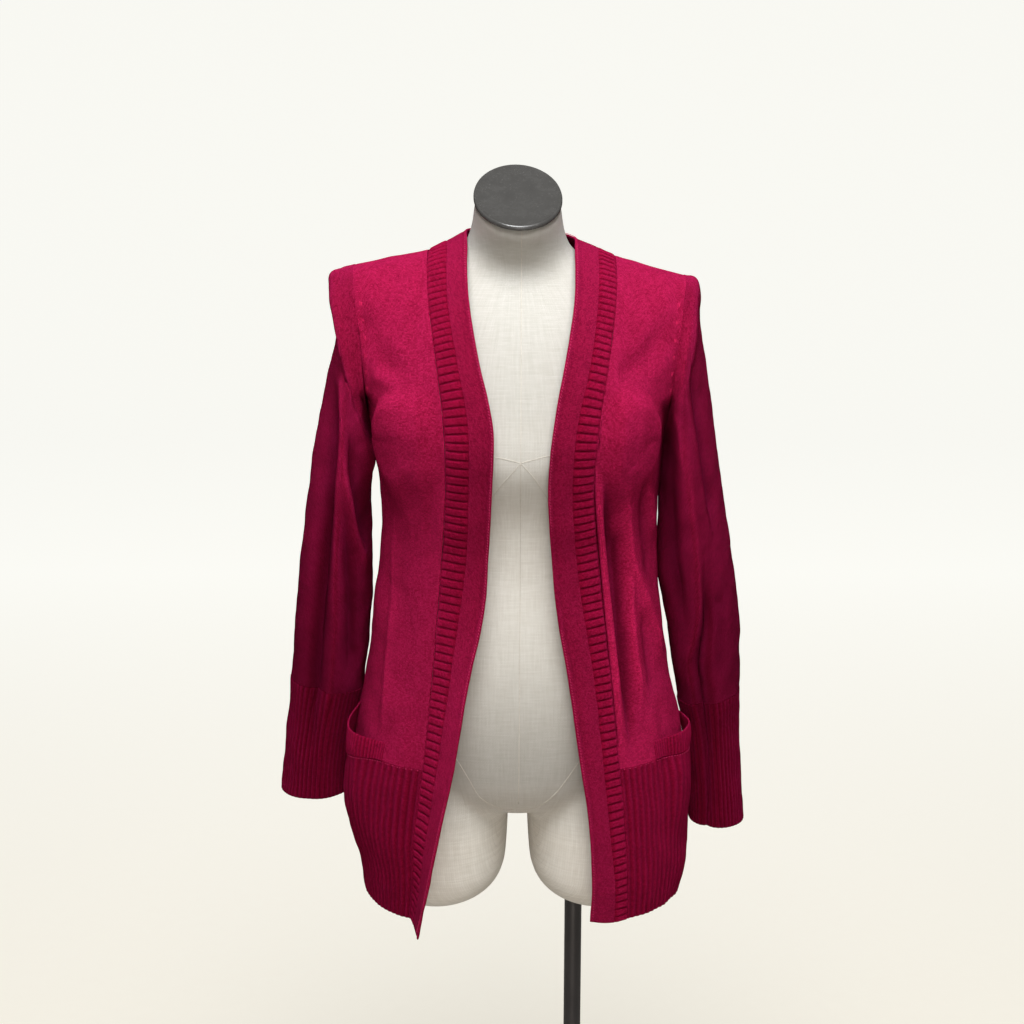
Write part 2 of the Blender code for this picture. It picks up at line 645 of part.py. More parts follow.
def fold_sleeve(side, rings, normals):
    folded = []
    for ring, turned in zip(rings, normals):
        row = []
        for k, (point, normal) in enumerate(zip(ring, turned)):
            angle = 180.0 * k / ARMHOLE_ROWS
            depth = 0.0
            for fold in SLEEVE_FOLDS:
                if fold.side == side:
                    along = ease(fold.top_z, fold.top_z - 0.10, point.z)
                    along *= ease(fold.bottom_z, fold.bottom_z + 0.05, point.z)
                    off = (angle - fold.angle) / fold.width
                    depth += fold.depth * along * math.exp(-off * off)
            row.append(point - normal * depth)
        folded.append(row)
    return folded


# ---------------------------------------------------------------- materials
wool = make_material("raspberry_wool", (0.42, 0.010, 0.075), 0.85)
wool_rib = make_material("raspberry_ribbing", (0.36, 0.008, 0.060), 0.85)
linen = make_material("cream_linen", (0.78, 0.74, 0.66), 0.80)
black_plastic = make_material("black_neck_cap", (0.020, 0.020, 0.022), 0.25)
black_metal = make_material("black_stand", (0.015, 0.015, 0.016), 0.40, 0.6)


# ---------------------------------------------------------------- body, band and hem
def from_axis(point):
    """Roughly outwards from the body's middle, upwards on the shoulders."""
    lift = ease(ARMPIT_HEIGHT, 1.42, point.z)
    return Vector((point.x, point.y, 0.0)) * (1 - lift) + Vector((0.0, point.y * 0.5, 0.25)) * lift


fronts = {side: front_net(side) for side in ("right", "left")}
backs = {side: back_half_rows(side, fronts[side]) for side in ("right", "left")}
neck = neck_sections(fronts, backs)
back_net = []
for right_row, left_row in zip(backs["right"], backs["left"]):
    back_net.append(right_row + left_row[-2::-1])

plain_normals = {}
for net in (fronts["right"], fronts["left"], back_net, neck):
    add_net_normals(plain_normals, net, from_axis)

for side in ("right", "left"):
    for row in fronts[side]:
        for point in row:
            out = body_fold(side, point)
            if out:
                old_key = tuple(point)
                normal = plain_normals[old_key].normalized()
                point += normal * out
                plain_normals[tuple(point)] = plain_normals[old_key]

cloth_normals = {}
for net in (fronts["right"], fronts["left"], back_net, neck):
    add_net_normals(cloth_normals, net, from_axis)

sleeve_rings = {}
sleeve_normals = {}
for side in ("right", "left"):
    sleeve_rings[side] = [sleeve_head(side)] + [sleeve_ring(side, section) for section in SLEEVES[side]]
    sleeve_normals[side] = ring_normals(sleeve_rings[side])
    for k in range(2 * ARMHOLE_ROWS):
        share, depth = armhole_share(k)
        if share > MITRE_FROM:
            key = tuple(armhole_point(side, share, depth))
            shared = cloth_normals[key].normalized() + sleeve_normals[side][0][k]
            cloth_normals[key] = shared.normalized()
            sleeve_normals[side][0][k] = shared.normalized()

BAND = 2 * STRIP_COLUMNS
band_path = [row[:BAND + 1] for row in fronts["right"]] + neck[1:-1]
band_path += [row[:BAND + 1] for row in reversed(fronts["left"])]
plain_strip = [section[:STRIP_COLUMNS + 1] for section in band_path]
ribbed_strip = [section[STRIP_COLUMNS:] for section in band_path]
cloth_piece("band_plain_strip", plain_strip, RIBBING, wool_rib, cloth_normals)
cloth_piece("band_ribbed_strip", ribbed_strip, RIBBING, wool_rib, cloth_normals)

cloth_piece("back_panel", back_net[HEM_ROWS:], JERSEY, wool, cloth_normals)
cloth_piece("back_hem_ribbing", back_net[:HEM_ROWS + 1], RIBBING, wool_rib, cloth_normals)


# ---------------------------------------------------------------- fronts, pockets and their hem ribbing
def pocket_share(column):
    """How far a column of the front lies from the mouth's inner corner (0) to the side seam (1)."""
    return (column / PANEL_COLUMNS - POCKET_START) / (1 - POCKET_START)


def pocket_bulge(side, share, height):
    """How far the pocket's outer layer stands off the body."""
    if share <= 0.0:
        return 0.0
    across = math.sin(math.pi * min(1.0, share / MOUTH_TO)) * ease(0.0, BULGE_EASE, share)
    return POCKET_FULLNESS[side] * across * ease(POCKET_FLOOR, RIB_TOP, height)


def pocket_sag(side, share, height):
    """How far the ribbing hangs down under the mouth."""
    return POCKET_SAG[side] * ease(0.0, 1.0, share) * ease(HEM_HEIGHT, RIB_TOP, height)


def panel_dent(share, height):
    """How far the front hangs back behind the mouth."""
    if share <= 0.0:
        return 0.0
    across = math.sin(math.pi * min(1.0, share / DENT_TO)) * ease(0.0, DENT_EASE, share)
    return PANEL_DENT * across * (1 - ease(RIB_TOP, RIB_TOP + DENT_RISE, height))


def shifted_row(row, normals, shift):
    """A row of a front moved in or out by a length that depends on the place along the mouth."""
    return [point + normal * shift(pocket_share(k), point.z) for k, (point, normal) in enumerate(zip(row, normals))]


def build_front(side):
    """The front panel, which hangs back behind the mouth, and the ribbing, which sags forward under it."""
    rows = [row[BAND:] for row in fronts[side]]
    normals = [[cloth_normals[tuple(point)].normalized() for point in row] for row in rows]
    panel = []
    for row, turned in zip(rows[HEM_ROWS:], normals[HEM_ROWS:]):
        panel.append(shifted_row(row, turned, lambda share, height: -panel_dent(share, height)))
    wall(side + "_front_panel", inset_net(panel, SEAM_INSET), normals[HEM_ROWS:], JERSEY, wool)
    hem = []
    for row, turned in zip(rows[:HEM_ROWS + 1], normals[:HEM_ROWS + 1]):
        shifted = shifted_row(row, turned, lambda share, height: pocket_bulge(side, share, height))
        for k, point in enumerate(shifted):
            point.z -= pocket_sag(side, pocket_share(k), point.z)
        hem.append(shifted)
    wall(side + "_hem_ribbing", inset_net(hem, SEAM_INSET), normals[:HEM_ROWS + 1], RIBBING, wool_rib)


def surface_at(side, share, height):
    """Point and outward direction on a front between the mouth's corner (0) and the side seam (1)."""
    column = (POCKET_START + share * (1 - POCKET_START)) * PANEL_COLUMNS
    k = min(PANEL_COLUMNS - 1, int(column))

    def point(z):
        row = front_row_below(side, z)[BAND:]
        return row[k].lerp(row[k + 1], column - k)

    here = point(height)
    row = front_row_below(side, height)[BAND:]
    across = (row[k + 1] - row[k]) * side_sign(side)
    up = point(height + 0.002) - point(height - 0.002)
    return here, across.cross(up).normalized()


def build_pocket(side):
    """The ribbed band along the mouth, and the bag that hangs inside behind the hem ribbing."""
    band, band_normals = [], []
    for level in range(3):
        row, turned = [], []
        for k in range(POCKET_COLUMNS + 1):
            share = mix(MOUTH_FROM, MOUTH_TO, k / POCKET_COLUMNS)
            bottom = RIB_TOP + MOUTH_SEAM - pocket_sag(side, share, RIB_TOP)
            top = RIB_TOP + POCKET_BAND_HEIGHT + POCKET_PEAK[side] * share ** 3
            height = mix(bottom, top, level / 2)
            point, normal = surface_at(side, share, height)
            lift = JERSEY + SEAM_GAP + pocket_bulge(side, share, height)
            lift += MOUTH_LEAN * math.sin(math.pi * share) * level / 2
            row.append(point + normal * lift)
            turned.append(normal * mix(MOUTH_END_THIN, 1.0, ease(0.0, MOUTH_END_LENGTH, share)))
        band.append(row)
        band_normals.append(turned)
    wall(side + "_pocket_band", band, band_normals, POCKET_BAND_CLOTH, wool_rib)

    bag, bag_normals = [], []
    for level in range(POCKET_ROWS + 1):
        row, turned = [], []
        down = level / POCKET_ROWS
        for k in range(POCKET_COLUMNS + 1):
            share = mix(BAG_FROM, BAG_TO, k / POCKET_COLUMNS)
            height = mix(RIB_TOP - BAG_DROP, POCKET_FLOOR, down)
            point, normal = surface_at(side, share, height)
            against = pocket_bulge(side, share, height) - BAG_CLOTH - BAG_CLEARANCE
            free = -panel_dent(share, RIB_TOP) - BAG_SLACK * math.sin(math.pi * share)
            hang = min(against, mix(free, against, down ** 3))
            row.append(point + normal * hang)
            turned.append(normal)
        bag.append(row)
        bag_normals.append(turned)
    wall(side + "_pocket_bag", bag, bag_normals, BAG_CLOTH, wool)


for side in ("right", "left"):
    build_front(side)
    build_pocket(side)


# ---------------------------------------------------------------- sleeves
for side in ("right", "left"):
    folded = fold_sleeve(side, sleeve_rings[side], sleeve_normals[side])
    wall(side + "_sleeve", folded, sleeve_normals[side], JERSEY, wool, closed=True)
    rings = [sleeve_ring(side, section) for section in CUFFS[side]]
    normals = ring_normals(rings)
    folded = fold_sleeve(side, rings, normals)
    wall(side + "_cuff", folded, normals, RIBBING, wool_rib, closed=True)


# ---------------------------------------------------------------- the dress form
def loft(name, rings, material, cap_start=True, cap_end=True):
    """A solid through closed rings of equal count, its ends closed by flat caps."""
    count = len(rings[0])
    vertices = [point for ring in rings for point in ring]
    faces = []
    for i in range(len(rings) - 1):
        for j in range(count):
            a, b = i * count + j, i * count + (j + 1) % count
            faces.append((a, b, b + count, a + count))
    last = (len(rings) - 1) * count
    if cap_start:
        faces.append(tuple(reversed(range(count))))
    if cap_end:
        faces.append(tuple(range(last, last + count)))
    return make_object(name, vertices, faces, material)


def form_ring(section, grow=0.0, rise=0.0):
    ring = []
    leaning = FORM_LEAN * ease(1.10, 1.34, section.height)
    for k in range(FORM_COLUMNS):
        turn = 2 * math.pi * k / FORM_COLUMNS
        side, depth = math.sin(turn), -math.cos(turn)
        reach = (section.front if depth < 0 else section.back) + grow
        x = (section.half_width + grow) * math.copysign(abs(side) ** (2 / section.corner), side)
        y = reach * math.copysign(abs(depth) ** (2 / section.corner), depth)
        z = section.height + rise + y * section.lean - x * leaning
        ring.append(Vector((x, section.centre_y + y, z)))
    return ring


def thigh_ring(section, sign):
    ring = []
    for k in range(THIGH_COLUMNS):
        turn = 2 * math.pi * k / THIGH_COLUMNS
        across = THIGH_HALF_WIDTH * section.scale * math.sin(turn)
        reach = THIGH_FRONT if math.cos(turn) > 0 else THIGH_BACK
        y = -reach * section.scale * math.cos(turn)
        rise = THIGH_TILT * (1 - ease(0.62, 0.70, section.height))
        ring.append(Vector((sign * (THIGH_CENTRE_X + across), y, section.height - across * rise)))
    return ring


def join_solids(target, other, operation):
    change = target.modifiers.new(operation.lower(), "BOOLEAN")
    change.operation = operation
    change.solver = "EXACT"
    change.object = other
    other.hide_render = True
    other.display_type = "WIRE"


torso = loft("form_torso", [form_ring(section) for section in FORM_SECTIONS], linen)
for sign, label in ((1.0, "right"), (-1.0, "left")):
    stub = loft(label + "_thigh_guide", [thigh_ring(section, sign) for section in THIGH_SECTIONS], linen)
    join_solids(torso, stub, "UNION")


def upright_cylinder(name, x, radius, bottom, top, sides, material, bevel=0.0):
    mesh = bpy.data.meshes.new(name)
    work = bmesh.new()
    bmesh.ops.create_cone(work, cap_ends=True, segments=sides, radius1=radius, radius2=radius,
                          depth=top - bottom)
    bmesh.ops.translate(work, verts=work.verts, vec=(0.0, 0.0, (top + bottom) / 2))
    if bevel:
        rim = [edge for edge in work.edges if abs(edge.verts[0].co.z - edge.verts[1].co.z) < 1e-6
               and edge.verts[0].co.z > (top + bottom) / 2]
        bmesh.ops.bevel(work, geom=rim, offset=bevel, segments=2, affect="EDGES", profile=0.5)
    work.to_mesh(mesh)
    work.free()
    mesh.materials.append(material)
    mesh.shade_smooth()
    mesh.set_sharp_from_angle(angle=math.radians(40))
    made = bpy.data.objects.new(name, mesh)
    made.location = (x, 0.0, 0.0)
    bpy.context.scene.collection.objects.link(made)
    return made


socket = upright_cylinder("pole_socket_guide", POLE_X, POLE_RADIUS + SEAM_GAP, SOCKET_FROM,
                          POLE_TOP + SOCKET_DEPTH_CLEARANCE, POLE_SIDES, black_metal)
join_solids(torso, socket, "DIFFERENCE")
upright_cylinder("pole", POLE_X, POLE_RADIUS, BASE_THICKNESS + SEAM_GAP, POLE_TOP, POLE_SIDES, black_metal)
upright_cylinder("base_plate", 0.0, BASE_RADIUS, 0.0, BASE_THICKNESS, BASE_SIDES, black_metal, BASE_BEVEL)

neck_top = FORM_SECTIONS[-1]
loft("neck_cap", [form_ring(neck_top, CAP_OVERHANG, SEAM_GAP),
                  form_ring(neck_top, CAP_OVERHANG, SEAM_GAP + CAP_SIDE * CAP_THICKNESS),
                  form_ring(neck_top, CAP_OVERHANG - CAP_CHAMFER, SEAM_GAP + CAP_THICKNESS)], black_plastic)
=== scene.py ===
import math
from collections import namedtuple

import bmesh
import bpy
import numpy as np
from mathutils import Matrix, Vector
from mathutils.bvhtree import BVHTree


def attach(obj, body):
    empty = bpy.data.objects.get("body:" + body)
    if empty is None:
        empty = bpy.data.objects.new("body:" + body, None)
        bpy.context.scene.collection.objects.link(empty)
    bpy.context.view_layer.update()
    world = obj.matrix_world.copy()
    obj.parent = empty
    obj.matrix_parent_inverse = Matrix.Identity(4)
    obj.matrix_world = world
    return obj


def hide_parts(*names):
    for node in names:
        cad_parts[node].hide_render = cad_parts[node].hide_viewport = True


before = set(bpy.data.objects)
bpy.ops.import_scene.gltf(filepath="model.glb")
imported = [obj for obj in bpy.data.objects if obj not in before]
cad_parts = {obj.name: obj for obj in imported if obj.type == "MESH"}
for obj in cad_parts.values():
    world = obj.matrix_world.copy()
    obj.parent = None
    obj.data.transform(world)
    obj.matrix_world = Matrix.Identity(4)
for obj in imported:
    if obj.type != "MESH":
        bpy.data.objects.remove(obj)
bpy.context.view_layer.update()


# ------------------------------------------------------------------ camera
# The view is a little above the shoulders, a pace and a half in front of the open fronts, tilted down.
CAMERA_PLACE = (-0.0065, -2.15, 1.7291)
CAMERA_TILT = math.radians(16.7288)
camera = bpy.data.objects.new("camera", bpy.data.cameras.new("camera"))
camera.location = CAMERA_PLACE
camera.rotation_euler = (math.pi / 2 - CAMERA_TILT, 0.0, 0.0)
camera.data.sensor_width = 36.0
camera.data.lens = 68.37
bpy.context.scene.collection.objects.link(camera)
bpy.context.scene.camera = camera


# ------------------------------------------------------------------ studio floor, backdrop and light
# A cream paper sweep: a flat floor that curves up into a wall, lit by two broad soft lights and the room.
# To the camera the paper also glows with painted light, dimmer near the front and brighter towards the wall.
SWEEP_HALF_WIDTH = 9.0
SWEEP_FRONT = -7.0
SWEEP_BACK = 7.0
SWEEP_RADIUS = 2.5
SWEEP_TOP = 9.0
PAPER_BOUNCE = (0.30, 0.28, 0.25)
PAPER_GLOW_NEAR = (0.665, 0.635, 0.56)
PAPER_GLOW_FAR = (0.86, 0.86, 0.82)


def add_node(tree, kind, feeds=None, **settings):
    """A node with its settings, its sockets fed by values or by other nodes' outputs."""
    node = tree.nodes.new(kind)
    for key, value in settings.items():
        setattr(node, key, value)
    for key, value in (feeds or {}).items():
        socket = node.inputs[key]
        if isinstance(value, bpy.types.NodeSocket):
            tree.links.new(value, socket)
        else:
            socket.default_value = value
    return node


def calc(tree, operation, a, b=0.0, c=0.0):
    """One step of arithmetic between values or sockets."""
    return add_node(tree, "ShaderNodeMath", {0: a, 1: b, 2: c}, operation=operation).outputs[0]


def ramp(tree, value, low, high, start=0.0, end=1.0):
    """A value carried from one range into another, held at its ends."""
    feeds = {"Value": value, "From Min": low, "From Max": high, "To Min": start, "To Max": end}
    return add_node(tree, "ShaderNodeMapRange", feeds).outputs["Result"]


def blend_colours(tree, share, first, second):
    feeds = {"Factor": share, 6: first, 7: second}
    node = add_node(tree, "ShaderNodeMix", None, data_type="RGBA")
    for key, value in feeds.items():
        if isinstance(value, bpy.types.NodeSocket):
            tree.links.new(value, node.inputs[key])
        else:
            node.inputs[key].default_value = value if key == "Factor" else (*value[:3], 1.0)
    return node.outputs[2]


def new_material(name, roughness, metallic=0.0):
    """A material with its Principled shader, and its node tree."""
    material = bpy.data.materials.new(name)
    material.use_nodes = True
    shader = material.node_tree.nodes["Principled BSDF"]
    shader.inputs["Roughness"].default_value = roughness
    shader.inputs["Metallic"].default_value = metallic
    return material, shader, material.node_tree


def add_bump(tree, shader, height, distance, strength=1.0):
    feeds = {"Height": height, "Distance": distance, "Strength": strength}
    tree.links.new(add_node(tree, "ShaderNodeBump", feeds).outputs["Normal"], shader.inputs["Normal"])


def new_piece(name, mesh, material):
    mesh.materials.append(material)
    piece = bpy.data.objects.new(name, mesh)
    bpy.context.scene.collection.objects.link(piece)
    return piece


paper, paper_shader, paper_tree = new_material("cream_paper", 0.9)
paper_place = add_node(paper_tree, "ShaderNodeTexCoord").outputs["Object"]
paper_grain = add_node(paper_tree, "ShaderNodeTexNoise", {"Vector": paper_place, "Scale": 40.0,
        "Detail": 4.0})
paper_colour = blend_colours(paper_tree, paper_grain.outputs["Fac"], (0.29, 0.28, 0.25), (0.31, 0.30, 0.27))
# Painted light: camera rays see the paper glow, dimmer near the front and brighter towards the wall; other
# rays see plain pale paper.
seen = add_node(paper_tree, "ShaderNodeLightPath").outputs["Is Camera Ray"]
paper_tree.links.new(blend_colours(paper_tree, seen, PAPER_BOUNCE, paper_colour),
                     paper_shader.inputs["Base Color"])
paper_back = add_node(paper_tree, "ShaderNodeSeparateXYZ", {0: paper_place}).outputs["Y"]
paper_glow = blend_colours(paper_tree, ramp(paper_tree, paper_back, 0.6, 3.0), PAPER_GLOW_NEAR,
        PAPER_GLOW_FAR)
paper_tree.links.new(blend_colours(paper_tree, seen, (0.0, 0.0, 0.0), paper_glow),
                     paper_shader.inputs["Emission Color"])
paper_shader.inputs["Emission Strength"].default_value = 1.0

sweep_line = [(SWEEP_FRONT, 0.0)]
for k in range(17):
    turn = math.pi / 2 * k / 16
    sweep_line.append((SWEEP_BACK - SWEEP_RADIUS * (1 - math.sin(turn)),
                       SWEEP_RADIUS * (1 - math.cos(turn))))
sweep_line.append((SWEEP_BACK, SWEEP_TOP))
sweep_mesh = bpy.data.meshes.new("paper_sweep")
sweep_points = [(x, y, z) for y, z in sweep_line for x in (-SWEEP_HALF_WIDTH, SWEEP_HALF_WIDTH)]
sweep_faces = [(2 * k, 2 * k + 1, 2 * k + 3, 2 * k + 2) for k in range(len(sweep_line) - 1)]
sweep_mesh.from_pydata(sweep_points, [], sweep_faces)
sweep_mesh.shade_smooth()
sweep = new_piece("paper_sweep", sweep_mesh, paper)

SoftLight = namedtuple("SoftLight", "name place aim size power colour")
SOFT_LIGHTS = [
    SoftLight("overhead_light", (0.02, -1.00, 3.15), (0.0, -0.05, 1.2), 1.3, 88.0, (0.98, 0.99, 1.0)),
    SoftLight("front_fill", (0.3, -3.4, 1.9), (0.0, 0.0, 1.0), 1.6, 19.0, (1.0, 0.96, 0.92)),
    SoftLight("low_fill", (0.0, -1.5, 0.30), (0.0, 0.0, 0.75), 0.7, 5.0, (1.0, 0.89, 0.78)),
]
for light in SOFT_LIGHTS:
    lamp_data = bpy.data.lights.new(light.name, "AREA")
    lamp_data.shape = "DISK"
    lamp_data.size = light.size
    lamp_data.energy = light.power
    lamp_data.color = light.colour
    lamp = bpy.data.objects.new(light.name, lamp_data)
    lamp.location = light.place
    lamp.rotation_euler = (Vector(light.aim) - Vector(light.place)).to_track_quat("-Z", "Y").to_euler()
    bpy.context.scene.collection.objects.link(lamp)

room = bpy.data.worlds.new("room")
room.use_nodes = True
room.node_tree.nodes["Background"].inputs["Color"].default_value = (1.0, 0.985, 0.95, 1.0)
room.node_tree.nodes["Background"].inputs["Strength"].default_value = 0.20
bpy.context.scene.world = room
bpy.context.scene.view_settings.view_transform = "Standard"


# ------------------------------------------------------------------ the dress form
# A padded torso with two closed thigh stubs, covered in stretched natural linen cut in panels and sewn
# with flat seams. It is one closed body, 0.87 m from the top of the neck to the ends of the thighs.
FormSection = namedtuple("FormSection", "height centre_y half_width front back lean corner")
FORM_SECTIONS = [
    FormSection(0.725, 0.000, 0.020, 0.030, 0.035, 0.00, 2.0),
    FormSection(0.729, 0.000, 0.055, 0.055, 0.062, 0.00, 2.0),
    FormSection(0.741, 0.000, 0.100, 0.078, 0.088, 0.00, 2.1),
    FormSection(0.764, 0.000, 0.143, 0.094, 0.106, 0.00, 2.2),
    FormSection(0.800, 0.000, 0.163, 0.102, 0.116, 0.00, 2.2),
    FormSection(0.860, 0.000, 0.166, 0.106, 0.117, 0.00, 2.2),
    FormSection(0.920, 0.000, 0.155, 0.104, 0.105, 0.00, 2.2),
    FormSection(0.980, 0.000, 0.135, 0.097, 0.091, 0.00, 2.2),
    FormSection(1.040, 0.000, 0.120, 0.092, 0.084, 0.00, 2.2),
    FormSection(1.100, 0.000, 0.126, 0.100, 0.087, 0.00, 2.2),
    FormSection(1.165, 0.000, 0.141, 0.127, 0.095, 0.00, 2.3),
    FormSection(1.220, 0.000, 0.149, 0.121, 0.098, 0.00, 2.3),
    FormSection(1.270, 0.000, 0.152, 0.102, 0.090, 0.00, 2.3),
    FormSection(1.310, 0.000, 0.153, 0.081, 0.074, 0.00, 2.3),
    FormSection(1.340, 0.000, 0.149, 0.060, 0.056, 0.00, 2.2),
    FormSection(1.358, 0.000, 0.134, 0.046, 0.045, 0.00, 2.1),
    FormSection(1.370, 0.000, 0.104, 0.041, 0.042, 0.05, 2.0),
    FormSection(1.380, 0.000, 0.077, 0.042, 0.043, 0.12, 2.0),
    FormSection(1.392, -0.002, 0.059, 0.045, 0.045, 0.20, 2.0),
    FormSection(1.412, -0.007, 0.0515, 0.049, 0.048, 0.32, 2.0),
    FormSection(1.430, -0.013, 0.0485, 0.053, 0.053, 0.42, 2.0),
    FormSection(1.4445, -0.019, 0.0478, 0.0525, 0.0555, 0.49, 2.0),
]
ThighSection = namedtuple("ThighSection", "height scale")
THIGH_SECTIONS = [
    ThighSection(0.6020, 0.30),
    ThighSection(0.6065, 0.62),
    ThighSection(0.6180, 0.84),
    ThighSection(0.6380, 0.96),
    ThighSection(0.6700, 1.00),
    ThighSection(0.7200, 1.02),
    ThighSection(0.7700, 0.94),
    ThighSection(0.8000, 0.70),
]
FORM_LEAN = 0.040
FORM_COLUMNS = 72
FORM_ROW_STEPS = 5
THIGH_CENTRE_X = 0.0885
THIGH_HALF_WIDTH = 0.0755
THIGH_FRONT = 0.088
THIGH_BACK = 0.094
THIGH_TILT = 0.10
SKIN_VOXEL = 0.0054
SKIN_SMOOTHING = 10


def ease(low, high, value):
    """0 below low, 1 above high, and a smooth step between; for numbers and for arrays."""
    s = np.clip((value - low) / (high - low), 0.0, 1.0)
    return s * s * (3 - 2 * s)


def through(points, places):
    """Points on a smooth curve through the given ones, at places counted in their own numbers."""
    padded = np.concatenate([2 * points[:1] - points[1:2], points, 2 * points[-1:] - points[-2:-1]])
    places = np.asarray(places, float)
    span = np.clip(np.floor(places).astype(int), 0, len(padded) - 4)
    s = (places - span).reshape(-1, *[1] * (points.ndim - 1))
    a, b, c, d = (padded[span + k] for k in range(4))
    return b + 0.5 * s * (c - a + s * (2 * a - 5 * b + 4 * c - d + s * (3 * (b - c) + d - a)))


def form_ring(section, grow=0.0, rise=0.0, columns=FORM_COLUMNS):
    turn = 2 * math.pi * np.arange(columns) / columns
    side, depth = np.sin(turn), -np.cos(turn)
    leaning = FORM_LEAN * float(ease(1.10, 1.34, section.height))
    reach = np.where(depth < 0, section.front, section.back) + grow
    x = (section.half_width + grow) * np.sign(side) * np.abs(side) ** (2 / section.corner)
    y = reach * np.sign(depth) * np.abs(depth) ** (2 / section.corner)
    z = section.height + rise + y * section.lean - x * leaning
    return np.stack([x, section.centre_y + y, z], -1)


def thigh_ring(section, sign, columns=FORM_COLUMNS):
    turn = 2 * math.pi * np.arange(columns) / columns
    across = THIGH_HALF_WIDTH * section.scale * np.sin(turn)
    reach = np.where(np.cos(turn) > 0, THIGH_FRONT, THIGH_BACK) * section.scale
    rise = THIGH_TILT * (1 - float(ease(0.62, 0.70, section.height)))
    return np.stack([sign * (THIGH_CENTRE_X + across), -reach * np.cos(turn),
                     section.height - across * rise], -1)


def add_closed_rings(work, rings):
    """Adds a closed skin through rings of equal count, with a flat cap at each end."""
    rows = [[work.verts.new(point) for point in ring] for ring in rings.tolist()]
    for low, high in zip(rows, rows[1:]):
        for k in range(len(low)):
            work.faces.new((low[k - 1], low[k], high[k], high[k - 1]))
    work.faces.new(rows[0])
    work.faces.new(rows[-1])


form_work = bmesh.new()
body_rings = np.array([form_ring(section) for section in FORM_SECTIONS])
steps = np.linspace(0, len(FORM_SECTIONS) - 1, FORM_ROW_STEPS * (len(FORM_SECTIONS) - 1) + 1)
add_closed_rings(form_work, through(body_rings, steps))
for sign in (1.0, -1.0):
    stub_rings = np.array([thigh_ring(section, sign) for section in THIGH_SECTIONS])
    steps = np.linspace(0, len(THIGH_SECTIONS) - 1, FORM_ROW_STEPS * (len(THIGH_SECTIONS) - 1) + 1)
    add_closed_rings(form_work, through(stub_rings, steps))
bmesh.ops.recalc_face_normals(form_work, faces=form_work.faces)
form_mesh = bpy.data.meshes.new("form_rings")
form_work.to_mesh(form_mesh)
form_work.free()
form_guide = bpy.data.objects.new("form_rings", form_mesh)
bpy.context.scene.collection.objects.link(form_guide)
skin = form_guide.modifiers.new("skin", "REMESH")
skin.mode = "VOXEL"
skin.voxel_size = SKIN_VOXEL
soften = form_guide.modifiers.new("soften", "SMOOTH")
soften.factor = 0.5
soften.iterations = SKIN_SMOOTHING
depsgraph = bpy.context.evaluated_depsgraph_get()
torso_mesh = bpy.data.meshes.new_from_object(form_guide.evaluated_get(depsgraph))
torso_mesh.name = "linen_torso"
bpy.data.objects.remove(form_guide, do_unlink=True)
torso_mesh.materials.clear()
torso_mesh.shade_smooth()

# The plain weave: two crossing sets of uneven threads, wrapped round the form.
WEAVE_PITCH = 0.0017
WEAVE_GIRTH_RADIUS = 0.125
weave_group = bpy.data.node_groups.new("plain_weave", "ShaderNodeTree")
for socket_name, kind in (("Across", "NodeSocketFloat"), ("Along", "NodeSocketFloat"),
        ("Pitch", "NodeSocketFloat")):
    weave_group.interface.new_socket(socket_name, in_out="INPUT", socket_type=kind)
for socket_name in ("Height", "Thread Tone"):
    weave_group.interface.new_socket(socket_name, in_out="OUTPUT", socket_type="NodeSocketFloat")
weave_in = weave_group.nodes.new("NodeGroupInput")
weave_out = weave_group.nodes.new("NodeGroupOutput")


def thread_set(tree, count_along, place_along):
    """Height and tone of one set of threads; each thread thickens and thins along its length."""
    thread = calc(tree, "FLOOR", count_along)
    round_top = calc(tree, "SINE", calc(tree, "MULTIPLY", calc(tree, "FRACT", count_along), math.pi))
    place = add_node(tree, "ShaderNodeCombineXYZ", {"X": calc(tree, "MULTIPLY", thread, 7.31),
            "Y": place_along})
    slub = add_node(tree, "ShaderNodeTexNoise", {"Vector": place.outputs[0], "Scale": 1.0, "Detail": 3.0})
    return calc(tree, "POWER", round_top, 0.6), slub.outputs["Fac"]


across_count = calc(weave_group, "DIVIDE", weave_in.outputs["Across"], weave_in.outputs["Pitch"])
along_count = calc(weave_group, "DIVIDE", weave_in.outputs["Along"], weave_in.outputs["Pitch"])
warp_top, warp_slub = thread_set(weave_group, across_count, calc(weave_group, "MULTIPLY", along_count, 0.05))
weft_top, weft_slub = thread_set(weave_group, along_count, calc(weave_group, "MULTIPLY", across_count, 0.05))
over = calc(weave_group, "ADD", calc(weave_group, "FLOOR", across_count),
            calc(weave_group, "FLOOR", along_count))
over = calc(weave_group, "FLOORED_MODULO", over, 2.0)
warp_share = ramp(weave_group, over, 0.0, 1.0, 0.35, 1.0)
weft_share = ramp(weave_group, over, 0.0, 1.0, 1.0, 0.35)
weave_height = calc(weave_group, "MAXIMUM", calc(weave_group, "MULTIPLY", warp_top, warp_share),
                    calc(weave_group, "MULTIPLY", weft_top, weft_share))
weave_tone = calc(weave_group, "MULTIPLY", calc(weave_group, "ADD", warp_slub, weft_slub), 0.5)
weave_group.links.new(weave_height, weave_out.inputs["Height"])
weave_group.links.new(weave_tone, weave_out.inputs["Thread Tone"])

